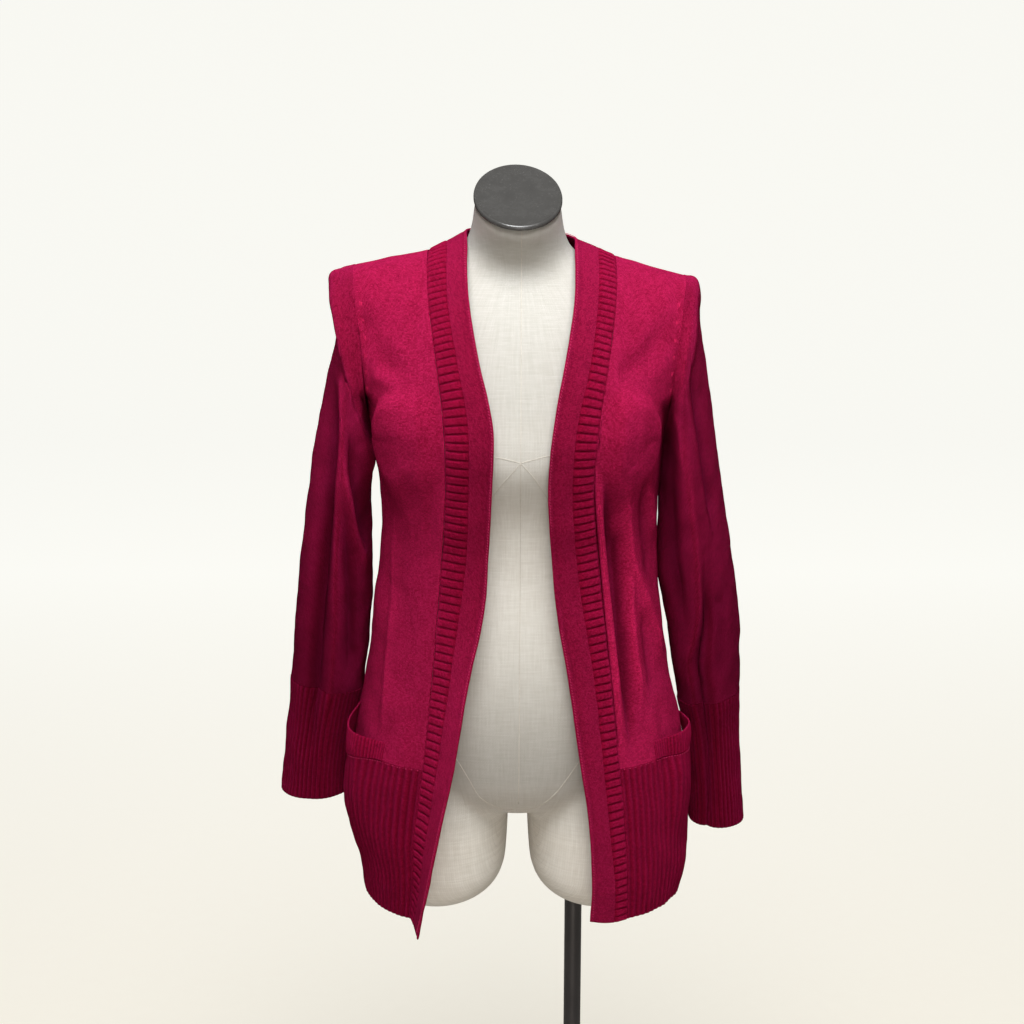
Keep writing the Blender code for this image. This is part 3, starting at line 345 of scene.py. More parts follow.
linen, linen_shader, linen_tree = new_material("natural_linen", 0.85)
linen_place = add_node(linen_tree, "ShaderNodeTexCoord").outputs["Object"]
linen_xyz = add_node(linen_tree, "ShaderNodeSeparateXYZ", {0: linen_place})
linen_turn = calc(linen_tree, "ARCTAN2", linen_xyz.outputs["X"], calc(linen_tree, "MULTIPLY",
        linen_xyz.outputs["Y"], -1.0))
linen_weave = add_node(linen_tree, "ShaderNodeGroup", {}, node_tree=weave_group)
linen_tree.links.new(calc(linen_tree, "MULTIPLY", linen_turn, WEAVE_GIRTH_RADIUS),
                     linen_weave.inputs["Across"])
linen_tree.links.new(linen_xyz.outputs["Z"], linen_weave.inputs["Along"])
linen_weave.inputs["Pitch"].default_value = WEAVE_PITCH
linen_soil = add_node(linen_tree, "ShaderNodeTexNoise", {"Vector": linen_place, "Scale": 9.0, "Detail": 5.0})
linen_tone = calc(linen_tree, "ADD", calc(linen_tree, "MULTIPLY", linen_weave.outputs["Thread Tone"], 0.8),
                  calc(linen_tree, "MULTIPLY", linen_soil.outputs["Fac"], 0.2))
linen_light = blend_colours(linen_tree, ramp(linen_tree, linen_tone, 0.30, 0.70), (0.63, 0.60, 0.53),
        (0.80, 0.78, 0.72))
linen_gaps_and_shade = ramp(linen_tree, linen_weave.outputs["Height"], 0.15, 0.55, 0.80, 1.0)
# Painted light and shade by height: darker over the lower belly, lighter on the thighs, and dimmed towards
# the top of the chest where the overhead light is strongest.
linen_belly_shade = calc(linen_tree, "MAXIMUM", ramp(linen_tree, linen_xyz.outputs["Z"], 0.70, 0.79, 1.10, 0.60),
                     ramp(linen_tree, linen_xyz.outputs["Z"], 0.82, 1.04, 0.60, 0.96))
linen_shade_by_height = calc(linen_tree, "MULTIPLY", linen_belly_shade, ramp(linen_tree, linen_xyz.outputs["Z"], 1.08,
        1.24, 1.0, 0.66))
linen_gaps_and_shade = calc(linen_tree, "MULTIPLY", linen_gaps_and_shade, linen_shade_by_height)
linen_colour = add_node(linen_tree, "ShaderNodeMix", None, data_type="RGBA", blend_type="MULTIPLY")
linen_colour.inputs["Factor"].default_value = 1.0
linen_tree.links.new(linen_light, linen_colour.inputs[6])
linen_tree.links.new(linen_gaps_and_shade, linen_colour.inputs[7])
linen_tree.links.new(linen_colour.outputs[2], linen_shader.inputs["Base Color"])
add_bump(linen_tree, linen_shader, linen_weave.outputs["Height"], 0.0003, 0.5)
linen_shader.inputs["Sheen Weight"].default_value = 0.10
linen_shader.inputs["Sheen Roughness"].default_value = 0.5

torso = new_piece("linen_torso", torso_mesh, linen)
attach(torso, "root")
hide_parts("form_torso")

# The seams between the linen panels: a fine felled ridge that follows the form's surface.
SEAM_RADIUS = 0.00045
SEAM_SIDES = 6
SEAM_STEP = 0.004
FRONT_SEAMS = [
    [(0.0040, 1.424), (0.0035, 1.30), (0.0030, 1.176), (0.0025, 1.00), (0.0010, 0.757)],
    [(0.0030, 1.176), (-0.012, 1.180), (-0.030, 1.183), (-0.080, 1.190)],
    [(0.0030, 1.176), (0.018, 1.180), (0.036, 1.184), (0.085, 1.188)],
    [(0.0030, 1.176), (-0.010, 1.160), (-0.022, 1.143), (-0.044, 1.105), (-0.060, 1.06)],
    [(0.0030, 1.176), (0.018, 1.157), (0.034, 1.128), (0.055, 1.08)],
    [(-0.085, 0.835), (-0.071, 0.817), (-0.056, 0.790), (-0.043, 0.765), (-0.020, 0.748), (-0.004, 0.746)],
    [(0.083, 0.832), (0.070, 0.812), (0.055, 0.788), (0.041, 0.768), (0.022, 0.750), (0.006, 0.746)],
]
BACK_SEAMS = [
    [(0.0, 1.42), (0.0, 1.25), (0.0, 1.05), (0.0, 0.77)],
    [(-0.090, 0.83), (-0.050, 0.775), (-0.006, 0.752)],
    [(0.090, 0.83), (0.050, 0.775), (0.006, 0.752)],
]


def tube_points(path, radius, sides):
    """Rings of points round a path."""
    along = np.gradient(path, axis=0)
    along /= np.linalg.norm(along, axis=1, keepdims=True)
    up = np.where(np.abs(along[:, 2:3]) > 0.9, [[1.0, 0.0, 0.0]], [[0.0, 0.0, 1.0]])
    first = np.cross(along, up)
    first /= np.linalg.norm(first, axis=1, keepdims=True)
    second = np.cross(along, first)
    turn = 2 * math.pi * np.arange(sides) / sides
    return (path[:, None] + radius * (np.cos(turn)[None, :, None] * first[:, None]
                                      + np.sin(turn)[None, :, None] * second[:, None]))


torso_tree = BVHTree.FromPolygons([v.co.copy() for v in torso_mesh.vertices],
        [p.vertices[:] for p in torso_mesh.polygons])
seam_work = bmesh.new()
for lines, direction in ((FRONT_SEAMS, 1.0), (BACK_SEAMS, -1.0)):
    for line in lines:
        line = np.array(line)
        length = np.linalg.norm(np.diff(line, axis=0), axis=1).sum()
        flat = through(line, np.linspace(0, len(line) - 1, max(8, int(length / SEAM_STEP))))
        path = []
        for x, z in flat:
            hit = torso_tree.ray_cast(Vector((x, -direction, z)), Vector((0.0, direction, 0.0)))[0]
            if hit is not None:
                path.append(hit)
        if len(path) > 3:
            add_closed_rings(seam_work, tube_points(np.array(path), SEAM_RADIUS, SEAM_SIDES))
bmesh.ops.recalc_face_normals(seam_work, faces=seam_work.faces)
seam_mesh = bpy.data.meshes.new("linen_seams")
seam_work.to_mesh(seam_mesh)
seam_work.free()
seam_mesh.shade_smooth()
seam_thread, seam_shader, seam_tree = new_material("linen_seam_fold", 0.9)
seam_place = add_node(seam_tree, "ShaderNodeTexCoord").outputs["Object"]
seam_noise = add_node(seam_tree, "ShaderNodeTexNoise", {"Vector": seam_place, "Scale": 400.0, "Detail": 2.0})
seam_colour = blend_colours(seam_tree, seam_noise.outputs["Fac"], (0.42, 0.39, 0.34), (0.66, 0.62, 0.55))
seam_tree.links.new(seam_colour, seam_shader.inputs["Base Color"])
seams = new_piece("linen_seams", seam_mesh, seam_thread)
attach(seams, "root")


# ------------------------------------------------------------------ neck cap
# A moulded black plastic disc pressed onto the neck, with a bright rounded rim and a faintly dished top.
# It closes the top of the form, its rim level with the linen round it.
CAP_COLUMNS = 96
CapRing = namedtuple("CapRing", "grow rise")
CAP_RINGS = [
    CapRing(0.0006, 0.0003),
    CapRing(0.0008, 0.0010),
    CapRing(0.0008, 0.0030),
    CapRing(0.0004, 0.0041),
    CapRing(-0.0004, 0.0047),
    CapRing(-0.0014, 0.0048),
    CapRing(-0.0022, 0.0044),
    CapRing(-0.0032, 0.0042),
]
neck_top = FORM_SECTIONS[-1]
cap_rings = [form_ring(neck_top, ring.grow, ring.rise, CAP_COLUMNS) for ring in CAP_RINGS]
cap_middle = cap_rings[-1].mean(0)
for share in (0.85, 0.6, 0.3, 0.05):
    inner_ring = cap_middle + (cap_rings[len(CAP_RINGS) - 1] - cap_middle) * share
    inner_ring[:, 2] -= 0.0010 * (1 - share ** 2)
    cap_rings.append(inner_ring)
cap_work = bmesh.new()
add_closed_rings(cap_work, np.array(cap_rings))
bmesh.ops.recalc_face_normals(cap_work, faces=cap_work.faces)
cap_mesh = bpy.data.meshes.new("black_neck_cap")
cap_work.to_mesh(cap_mesh)
cap_work.free()
cap_mesh.shade_smooth()
cap_plastic, cap_shader, cap_tree = new_material("black_gloss_plastic", 0.22)
cap_place = add_node(cap_tree, "ShaderNodeTexCoord").outputs["Object"]
cap_wear = add_node(cap_tree, "ShaderNodeTexNoise", {"Vector": cap_place, "Scale": 55.0, "Detail": 6.0,
        "Roughness": 0.7})
cap_dust = add_node(cap_tree, "ShaderNodeTexNoise", {"Vector": cap_place, "Scale": 900.0, "Detail": 1.0})
cap_speck = ramp(cap_tree, cap_dust.outputs["Fac"], 0.68, 0.74)
cap_base = blend_colours(cap_tree, cap_wear.outputs["Fac"], (0.034, 0.033, 0.031), (0.057, 0.055, 0.052))
cap_tree.links.new(blend_colours(cap_tree, calc(cap_tree, "MULTIPLY", cap_speck, 0.35), cap_base,
        (0.25, 0.24, 0.23)),
                   cap_shader.inputs["Base Color"])
cap_tree.links.new(ramp(cap_tree, cap_wear.outputs["Fac"], 0.35, 0.65, 0.16, 0.34),
                   cap_shader.inputs["Roughness"])
cap = new_piece("black_neck_cap", cap_mesh, cap_plastic)
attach(cap, "root")
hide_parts("neck_cap")


# ------------------------------------------------------------------ pole and base
# A straight black steel tube that stands on a round steel plate and ends inside the right thigh.
# It is set to one side of the plate's middle, under that thigh, and both are painted the same soft black.
POLE_X = 0.0685
POLE_RADIUS = 0.0105
POLE_TOP = 0.640
BASE_RADIUS = 0.170
BASE_THICKNESS = 0.008
BASE_EDGE = 0.0022
POLE_SIDES = 64
BASE_SIDES = 160


def turned(profile, centre_x, sides):
    """Rings of a round piece, turned about an upright line."""
    turn = 2 * math.pi * np.arange(sides) / sides
    rings = []
    for radius, height in profile:
        rings.append(np.stack([centre_x + radius * np.sin(turn), radius * np.cos(turn),
                               np.full(sides, height)], -1))
    return np.array(rings)


def turned_piece(name, profile, centre_x, sides, material):
    work = bmesh.new()
    add_closed_rings(work, turned(profile, centre_x, sides))
    bmesh.ops.recalc_face_normals(work, faces=work.faces)
    mesh = bpy.data.meshes.new(name)
    work.to_mesh(mesh)
    work.free()
    mesh.shade_smooth()
    mesh.set_sharp_from_angle(angle=math.radians(50))
    piece = new_piece(name, mesh, material)
    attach(piece, "root")
    return piece


stand_paint, stand_shader, stand_tree = new_material("satin_black_paint", 0.38)
stand_place = add_node(stand_tree, "ShaderNodeTexCoord").outputs["Object"]
stand_peel = add_node(stand_tree, "ShaderNodeTexNoise", {"Vector": stand_place, "Scale": 700.0,
        "Detail": 2.0})
stand_wear = add_node(stand_tree, "ShaderNodeTexNoise", {"Vector": stand_place, "Scale": 24.0,
        "Detail": 5.0})
stand_colour = blend_colours(stand_tree, stand_wear.outputs["Fac"], (0.010, 0.009, 0.010),
        (0.030, 0.026, 0.027))
stand_tree.links.new(stand_colour, stand_shader.inputs["Base Color"])
stand_tree.links.new(ramp(stand_tree, stand_wear.outputs["Fac"], 0.3, 0.7, 0.28, 0.46),
                     stand_shader.inputs["Roughness"])
stand_shader.inputs["Coat Weight"].default_value = 0.3
add_bump(stand_tree, stand_shader, stand_peel.outputs["Fac"], 0.00006, 0.5)

pole_foot = BASE_THICKNESS + 0.0003
pole = turned_piece("steel_pole", [(POLE_RADIUS, pole_foot), (POLE_RADIUS, 0.30), (POLE_RADIUS, POLE_TOP)],
                    POLE_X, POLE_SIDES, stand_paint)
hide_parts("pole")
base_profile = [(BASE_RADIUS - 0.0006, 0.0), (BASE_RADIUS, 0.0006)]
for k in range(6):
    turn = math.pi / 2 * k / 5
    base_profile.append((BASE_RADIUS - BASE_EDGE * (1 - math.cos(turn)),
                         BASE_THICKNESS - BASE_EDGE * (1 - math.sin(turn))))
base_profile.append((0.5 * BASE_RADIUS, BASE_THICKNESS))
base = turned_piece("steel_base_plate", base_profile, 0.0, BASE_SIDES, stand_paint)
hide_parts("base_plate")


# ------------------------------------------------------------------ front panels
# The two fronts are plain fine-gauge wool jersey, shaped on the machine and linked to the back at the side
# and shoulder. They hang open from the shoulders in soft upright folds and drop behind the pocket mouths.
JERSEY = 0.002
EDGES = {"seam": (0.0007, 0.60), "joined": (0.0004, 0.94), "free": (0.0020, 0.14)}
HEM_HEIGHT = 0.620
RIB_TOP = 0.812
ARMPIT_HEIGHT = 1.190
HEM_ROWS = 4
BODY_ROWS = 9
ARMHOLE_ROWS = 10
PANEL_COLUMNS = 9
STRIP_COLUMNS = 2
BAND = 2 * STRIP_COLUMNS
CHEST_FULLNESS = 1.7
ARMHOLE_DEPTH_FRONT = 0.058
POCKET_START = 0.34
PANEL_DENT = 0.005
DENT_TO = 0.83
PANEL_GRID = (190, 62)
Section = namedtuple("Section", "height half_width front back corner")
BODY_SECTIONS = [
    Section(0.615, 0.187, 0.134, 0.128, 2.4),
    Section(0.660, 0.198, 0.136, 0.134, 2.4),
    Section(0.730, 0.200, 0.136, 0.138, 2.4),
    Section(0.800, 0.195, 0.134, 0.137, 2.4),
    Section(0.860, 0.183, 0.131, 0.130, 2.3),
    Section(0.940, 0.169, 0.125, 0.118, 2.3),
    Section(1.050, 0.158, 0.119, 0.104, 2.3),
    Section(1.120, 0.159, 0.130, 0.109, 2.3),
    Section(1.190, 0.165, 0.140, 0.118, 2.3),
]
FrontLine = namedtuple("FrontLine", "height edge rib_line seam forward")
FRONT_LINES = {
    "right": [
        FrontLine(0.615, 0.0830, 0.1110, 0.1265, 0.006),
        FrontLine(0.660, 0.0850, 0.1120, 0.1265, 0.006),
        FrontLine(0.750, 0.0805, 0.1030, 0.1220, 0.005),
        FrontLine(0.830, 0.0690, 0.0950, 0.1135, 0.003),
        FrontLine(0.920, 0.0563, 0.0850, 0.1043, 0.000),
        FrontLine(1.000, 0.0425, 0.0720, 0.0955, 0.000),
        FrontLine(1.060, 0.0370, 0.0640, 0.0895, 0.000),
        FrontLine(1.150, 0.0320, 0.0585, 0.0825, 0.000),
        FrontLine(1.220, 0.0380, 0.0635, 0.0880, 0.000),
        FrontLine(1.280, 0.0490, 0.0770, 0.0980, 0.000),
        FrontLine(1.345, 0.0605, 0.0865, 0.1070, 0.000),
        FrontLine(1.400, 0.0620, 0.0875, 0.1085, 0.000),
    ],
    "left": [
        FrontLine(0.615, 0.1160, 0.1205, 0.1255, 0.046),
        FrontLine(0.660, 0.1060, 0.1140, 0.1225, 0.044),
        FrontLine(0.720, 0.0935, 0.1050, 0.1185, 0.040),
        FrontLine(0.770, 0.0830, 0.0965, 0.1125, 0.034),
        FrontLine(0.830, 0.0690, 0.0875, 0.1055, 0.024),
        FrontLine(0.920, 0.0545, 0.0750, 0.0960, 0.012),
        FrontLine(1.000, 0.0370, 0.0640, 0.0890, 0.003),
        FrontLine(1.060, 0.0325, 0.0565, 0.0840, 0.000),
        FrontLine(1.150, 0.0275, 0.0530, 0.0785, 0.000),
        FrontLine(1.220, 0.0265, 0.0535, 0.0805, 0.000),
        FrontLine(1.280, 0.0400, 0.0640, 0.0880, 0.000),
        FrontLine(1.345, 0.0520, 0.0755, 0.0975, 0.000),
        FrontLine(1.410, 0.0560, 0.0780, 0.1010, 0.000),
    ],
}
Shoulder = namedtuple("Shoulder", "neck_x neck_height seam_x seam_height tip_x tip_height")
SHOULDERS = {
    "right": Shoulder(0.062, 1.397, 0.108, 1.377, 0.186, 1.356),
    "left": Shoulder(0.056, 1.405, 0.101, 1.384, 0.182, 1.368),
}

# A fold runs along a line from its top to its bottom, bowed to one side; height is how far it stands out
# (or in, where negative), and lean makes one flank broader than the other.
Fold = namedtuple("Fold", "top_x top_z bottom_x bottom_z bow width height lean")
FRONT_FOLDS = [
    Fold(-0.172, 0.890, -0.180, 0.700, 0.002, 0.011, 0.0041, 0.2),
    Fold(0.174, 0.900, 0.184, 0.690, 0.002, 0.010, 0.0035, 0.2),
    Fold(-0.120, 1.045, -0.128, 0.850, 0.000, 0.012, -0.0028, 0.0),
    Fold(-0.156, 1.110, -0.164, 0.900, 0.002, 0.008, 0.0030, 0.2),
]
BACK_FOLDS = [
    Fold(-0.112, 1.255, -0.094, 0.860, 0.006, 0.016, 0.0060, 0.3),
    Fold(-0.074, 1.160, -0.062, 0.760, -0.004, 0.011, -0.0042, -0.2),
    Fold(-0.030, 1.110, -0.038, 0.800, 0.004, 0.015, 0.0042, 0.2),
    Fold(0.018, 1.200, 0.012, 0.900, -0.003, 0.017, 0.0032, 0.0),
    Fold(0.050, 1.090, 0.062, 0.720, 0.005, 0.010, -0.0040, 0.3),
    Fold(0.088, 1.230, 0.102, 0.830, -0.005, 0.015, 0.0063, -0.3),
    Fold(0.128, 1.130, 0.140, 0.840, 0.003, 0.011, 0.0042, 0.2),
    Fold(-0.142, 1.120, -0.146, 0.830, -0.003, 0.012, 0.0045, 0.0),
    Fold(-0.150, 1.300, -0.084, 1.190, 0.008, 0.012, 0.0032, 0.2),
    Fold(0.146, 1.310, 0.090, 1.205, -0.008, 0.012, 0.0035, -0.2),
    Fold(-0.110, 1.040, 0.060, 1.010, 0.012, 0.010, 0.0028, 0.3),
    Fold(-0.060, 0.985, 0.120, 0.968, -0.010, 0.009, 0.0025, 0.3),
    Fold(0.160, 0.900, 0.172, 0.680, 0.002, 0.012, 0.0037, 0.1),
    Fold(-0.166, 0.890, -0.176, 0.690, -0.002, 0.012, 0.0037, 0.1),
]


# A crease is sharper: it follows a path seen from the front, with its own width on each side of its crest.
# The power is near 1 for a crisp crest and 2 for a round one.
Crease = namedtuple("Crease", "path height left right power")
Dome = namedtuple("Dome", "x z outward inward up down height")
BUST_DOMES = [
    Dome(-0.117, 1.206, 0.041, 0.086, 0.054, 0.115, 0.0130),
    Dome(0.113, 1.206, 0.042, 0.080, 0.054, 0.110, 0.0130),
]
ARMPIT_HOLLOWS = [
    Crease([(-0.1650, 1.240), (-0.1670, 1.218), (-0.1665, 1.192), (-0.1640, 1.160)], 0.016, 0.0105, 0.0055,
           2.0),
    Crease([(0.1590, 1.236), (0.1625, 1.216), (0.1630, 1.190), (0.1610, 1.150), (0.1600, 1.110),
            (0.1600, 1.060)],
           0.016, 0.0055, 0.0090, 2.0),
]
DRAG_LINES = [
    Crease([(-0.170, 1.335), (-0.164, 1.313), (-0.158, 1.295), (-0.149, 1.280), (-0.137, 1.270),
            (-0.115, 1.264)],
           -0.0040, 0.0120, 0.0140, 2.0),
    Crease([(-0.160, 1.262), (-0.144, 1.258), (-0.122, 1.252)], 0.0026, 0.0075, 0.0075, 2.0),
    Crease([(0.172, 1.335), (0.156, 1.303), (0.143, 1.287), (0.130, 1.276), (0.102, 1.256)], -0.0040,
           0.0160, 0.0150, 2.0),
    Crease([(0.168, 1.352), (0.149, 1.320), (0.132, 1.302), (0.104, 1.278)], 0.0020, 0.0130, 0.0130, 2.0),
    Crease([(-0.092, 1.165), (-0.093, 1.125), (-0.097, 1.075)], -0.0024, 0.0060, 0.0070, 2.0),
    Crease([(0.122, 1.165), (0.121, 1.140), (0.118, 1.110)], -0.0020, 0.0080, 0.0080, 2.0),
]
FRONT_CREASES = [
    Crease([(-0.138, 1.120), (-0.139, 1.072), (-0.141, 1.023), (-0.144, 0.977), (-0.148, 0.932),
            (-0.152, 0.870), (-0.155, 0.830)],
           0.0030, 0.0034, 0.0060, 1.3),
    Crease([(0.0850, 1.175), (0.0865, 1.144), (0.0895, 1.102), (0.0945, 1.059), (0.0995, 1.012),
            (0.1045, 0.965),
            (0.1095, 0.918), (0.1140, 0.870), (0.1180, 0.815)], 0.0052, 0.0034, 0.0036, 1.4),
    Crease([(0.092, 1.172), (0.096, 1.132), (0.099, 1.095), (0.103, 1.052), (0.108, 1.007), (0.114, 0.959),
            (0.120, 0.912), (0.125, 0.862), (0.129, 0.805)], -0.0112, 0.0042, 0.0085, 1.6),
    Crease([(0.113, 1.168), (0.118, 1.126), (0.122, 1.089), (0.126, 1.053), (0.134, 1.026), (0.142, 1.000),
            (0.152, 0.969), (0.161, 0.940), (0.170, 0.900)], 0.0064, 0.0056, 0.0048, 1.4),
    Crease([(0.108, 1.090), (0.110, 1.073), (0.114, 1.031), (0.118, 0.989), (0.122, 0.948), (0.127, 0.895)],
           -0.0062, 0.0056, 0.0060, 1.8),
    Crease([(0.124, 1.035), (0.125, 1.018), (0.128, 0.982), (0.131, 0.947), (0.137, 0.911), (0.142, 0.870)],
           0.0050, 0.0036, 0.0042, 1.3),
    Crease([(0.138, 1.165), (0.144, 1.132), (0.148, 1.105), (0.151, 1.060)], 0.0036, 0.0034, 0.0034, 1.5),
    Crease([(0.133, 1.155), (0.136, 1.130), (0.139, 1.095), (0.144, 1.048), (0.154, 0.990)], -0.0044,
           0.0050, 0.0052, 1.8),
    Crease([(0.140, 0.995), (0.147, 0.936), (0.154, 0.880)], -0.0044, 0.0048, 0.0052, 1.8),
]


def mix(a, b, share):
    return a + (b - a) * share


def side_sign(side):
    return 1.0 if side == "right" else -1.0


def smooth_between(rows, height, column):
    """A column's value at a height, on a smooth curve through the table's rows."""
    values = [getattr(row, column) for row in rows]
    heights = [row.height for row in rows]
    if height <= heights[0]:
        return values[0]
    if height >= heights[-1]:
        return values[-1]
    k = next(i for i in range(len(rows) - 1) if height <= heights[i + 1])

    def slope(i):
        low, high = max(i - 1, 0), min(i + 1, len(rows) - 1)
        return (values[high] - values[low]) / (heights[high] - heights[low])

    step = heights[k + 1] - heights[k]
    s = (height - heights[k]) / step
    return (values[k] * (1 + 2 * s) * (1 - s) ** 2 + values[k + 1] * s * s * (3 - 2 * s)
            + slope(k) * step * s * (1 - s) ** 2 - slope(k + 1) * step * s * s * (1 - s))


def ridge_height(side, x):
    """Height of the shoulder seam at a distance from the centre."""
    s = SHOULDERS[side]
    if x <= s.seam_x:
        return mix(s.neck_height, s.seam_height, (x - s.neck_x) / (s.seam_x - s.neck_x))
    return mix(s.seam_height, s.tip_height, (x - s.seam_x) / (s.tip_x - s.seam_x))


def ring_angle(x, half_width, corner):
    return math.asin(min(1.0, (x / half_width) ** (corner / 2)))


def ring_reach(angle, half_width, depth, corner):
    """Distances sideways and in depth on a rounded section, from its front (0) to its side (90 degrees)."""
    return half_width * math.sin(angle) ** (2 / corner), depth * max(0.0, math.cos(angle)) ** (2 / corner)


def armhole_point(side, share, depth):
    """A point on the armhole, from the armpit (0) to the shoulder tip (1); depth is negative in front."""
    tip = SHOULDERS[side]
    turn = math.pi * share
    rise = (1 - math.cos(turn)) / 2
    x = mix(BODY_SECTIONS[-1].half_width, tip.tip_x, rise ** 1.5)
    return np.array([side_sign(side) * x, depth * abs(math.sin(turn)) ** 0.8,
                     mix(ARMPIT_HEIGHT, tip.tip_height, rise)])


def band_distances(side, height):
    """Distances from the centre of the points across the band, from the edge to its seam."""
    edge, rib_line, seam = (smooth_between(FRONT_LINES[side], height, name) for name in ("edge", "rib_line",
            "seam"))
    plain = [mix(edge, rib_line, k / STRIP_COLUMNS) for k in range(STRIP_COLUMNS)]
    return plain + [mix(rib_line, seam, k / STRIP_COLUMNS) for k in range(STRIP_COLUMNS + 1)]


def front_row_below(side, height):
    """A level row of the front: five points across the band, then on to the side seam."""
    half_width, depth, corner = (smooth_between(BODY_SECTIONS, height, name) for name in ("half_width",
            "front", "corner"))
    forward = smooth_between(FRONT_LINES[side], height, "forward")
    distances = band_distances(side, height)
    row = []
    for k, x in enumerate(distances):
        y = -ring_reach(ring_angle(x, half_width, corner), half_width, depth, corner)[1]
        row.append([x, y - forward * (1 - k / (len(distances) - 1)) ** 1.4, height])
    seam_angle = ring_angle(distances[-1], half_width, corner)
    for k in range(1, PANEL_COLUMNS + 1):
        x, y = ring_reach(mix(seam_angle, math.pi / 2, k / PANEL_COLUMNS), half_width, depth, corner)
        row.append([x, -y, height])
    return np.array(row) * [side_sign(side), 1.0, 1.0]


def front_row_above(side, share):
    """A row above the armpit, rising from the bust (0) to the shoulder seam (1)."""
    bust = BODY_SECTIONS[-1]
    rise = math.sin(math.pi / 2 * share) ** (2 / CHEST_FULLNESS)
    reach = max(0.0, math.cos(math.pi / 2 * share)) ** (2 / CHEST_FULLNESS)
    row = []
    for k in range(BAND + 1):
        height = ARMPIT_HEIGHT
        for _ in range(8):
            x = band_distances(side, height)[k]
            height = mix(ARMPIT_HEIGHT, ridge_height(side, x), rise)
        depth = ring_reach(ring_angle(x, bust.half_width, bust.corner), bust.half_width, bust.front,
                           bust.corner)[1]
        row.append(np.array([side_sign(side) * x, -depth * reach, height]))
    seam = row[-1]
    armhole = armhole_point(side, share, -ARMHOLE_DEPTH_FRONT)
    start = ring_angle(min(abs(seam[0]), 0.97 * bust.half_width), bust.half_width, bust.corner)
    start_x, start_y = ring_reach(start, 1.0, 1.0, bust.corner)
    level = share ** 1.2
    for k in range(1, PANEL_COLUMNS):
        s = k / PANEL_COLUMNS
        round_x, round_y = ring_reach(mix(start, math.pi / 2, s), 1.0, 1.0, bust.corner)
        share_x = mix((round_x - start_x) / (1 - start_x), s, level)
        share_y = mix(1 - round_y / start_y, s ** 1.6, level)
        row.append(seam + (armhole - seam) * [share_x, share_y, mix(s, share_x, level)])
    row.append(armhole)
    return np.array(row)


LEFT_POCKET_OUT = 0.022
LEFT_HEM_IN = 0.058
LEFT_WAIST_IN = 0.030
RIGHT_HEM_OUT = 0.032


def settled(net):
    """The sides as they hang: out at the left pocket and right hem, in at the left hip and left waist."""
    x, z = net[..., 0], net[..., 2]
    at_side = ease(0.09, 0.18, np.abs(x))
    left_side = LEFT_POCKET_OUT * np.exp(-((z - 0.745) / 0.030) ** 2) - LEFT_HEM_IN * np.exp(
            -((z - 0.655) / 0.042) ** 2)
    left_side -= LEFT_WAIST_IN * ease(1.19, 1.13, z) * ease(0.985, 1.035, z)
    change = np.where(x < 0, left_side, RIGHT_HEM_OUT * np.exp(-((z - 0.635) / 0.035) ** 2))
    net = net.copy()
    net[..., 0] = x * (1 + change * at_side)
    return net


row_heights = [mix(HEM_HEIGHT, RIB_TOP, k / HEM_ROWS) for k in range(HEM_ROWS)]
row_heights += [mix(RIB_TOP, ARMPIT_HEIGHT, k / BODY_ROWS) for k in range(BODY_ROWS + 1)]
front_nets = {}
for side in ("right", "left"):
    rows = [front_row_below(side, height) for height in row_heights]
    rows += [front_row_above(side, k / ARMHOLE_ROWS) for k in range(1, ARMHOLE_ROWS + 1)]
    front_nets[side] = settled(np.array(rows))


def spline_shares(places, count):
    span = np.clip(np.floor(places).astype(int), 0, count - 2)
    s = places - span
    return span, (0.5 * (-s + 2 * s ** 2 - s ** 3), 0.5 * (2 - 5 * s ** 2 + 3 * s ** 3),
                  0.5 * (s + 4 * s ** 2 - 3 * s ** 3), 0.5 * (s ** 3 - s ** 2))


def on_net(net, v, u, closed=False):
    """Points on the smooth surface through a net, at rows v and columns u that need not be whole."""
    v, u = np.broadcast_arrays(np.asarray(v, float), np.asarray(u, float))
    net = np.concatenate([2 * net[:1] - net[1:2], net, 2 * net[-1:] - net[-2:-1]])
    if closed:
        net = np.concatenate([net[:, -1:], net, net[:, :2]], axis=1)
    else:
        net = np.concatenate([2 * net[:, :1] - net[:, 1:2], net, 2 * net[:, -1:] - net[:, -2:-1]], axis=1)
    row, row_shares = spline_shares(v, len(net) - 2)
    column, column_shares = spline_shares(u, net.shape[1] - 2)
    total = 0.0
    for a in range(4):
        for b in range(4):
            total = total + (row_shares[a] * column_shares[b])[..., None] * net[row + a, column + b]
    return total


def net_normals(net, v, u, sign, closed=False):
    """Directions square to the net's surface, at the same places."""
    step = 0.02
    if closed:
        u = np.asarray(u, float) % (net.shape[1])
        before, after = (u - step) % net.shape[1], (u + step) % net.shape[1]
    else:
        before, after = u - step, u + step
    across = on_net(net, v, after, closed) - on_net(net, v, before, closed)
    along = on_net(net, v + step, u, closed) - on_net(net, v - step, u, closed)
    normals = sign * np.cross(across, along)
    return normals / np.linalg.norm(normals, axis=-1, keepdims=True)


def grid_normals(points, sign, closed=False):
    """Directions square to a fine grid of points."""
    along = np.gradient(points, axis=0)
    if closed:
        across = np.roll(points, -1, axis=1) - np.roll(points, 1, axis=1)
    else:
        across = np.gradient(points, axis=1)
    normals = sign * np.cross(across, along)
    return normals / np.maximum(np.linalg.norm(normals, axis=-1, keepdims=True), 1e-12)


FOLD_RISEN_AT = 0.35
FOLD_SINKS_FROM = 0.62


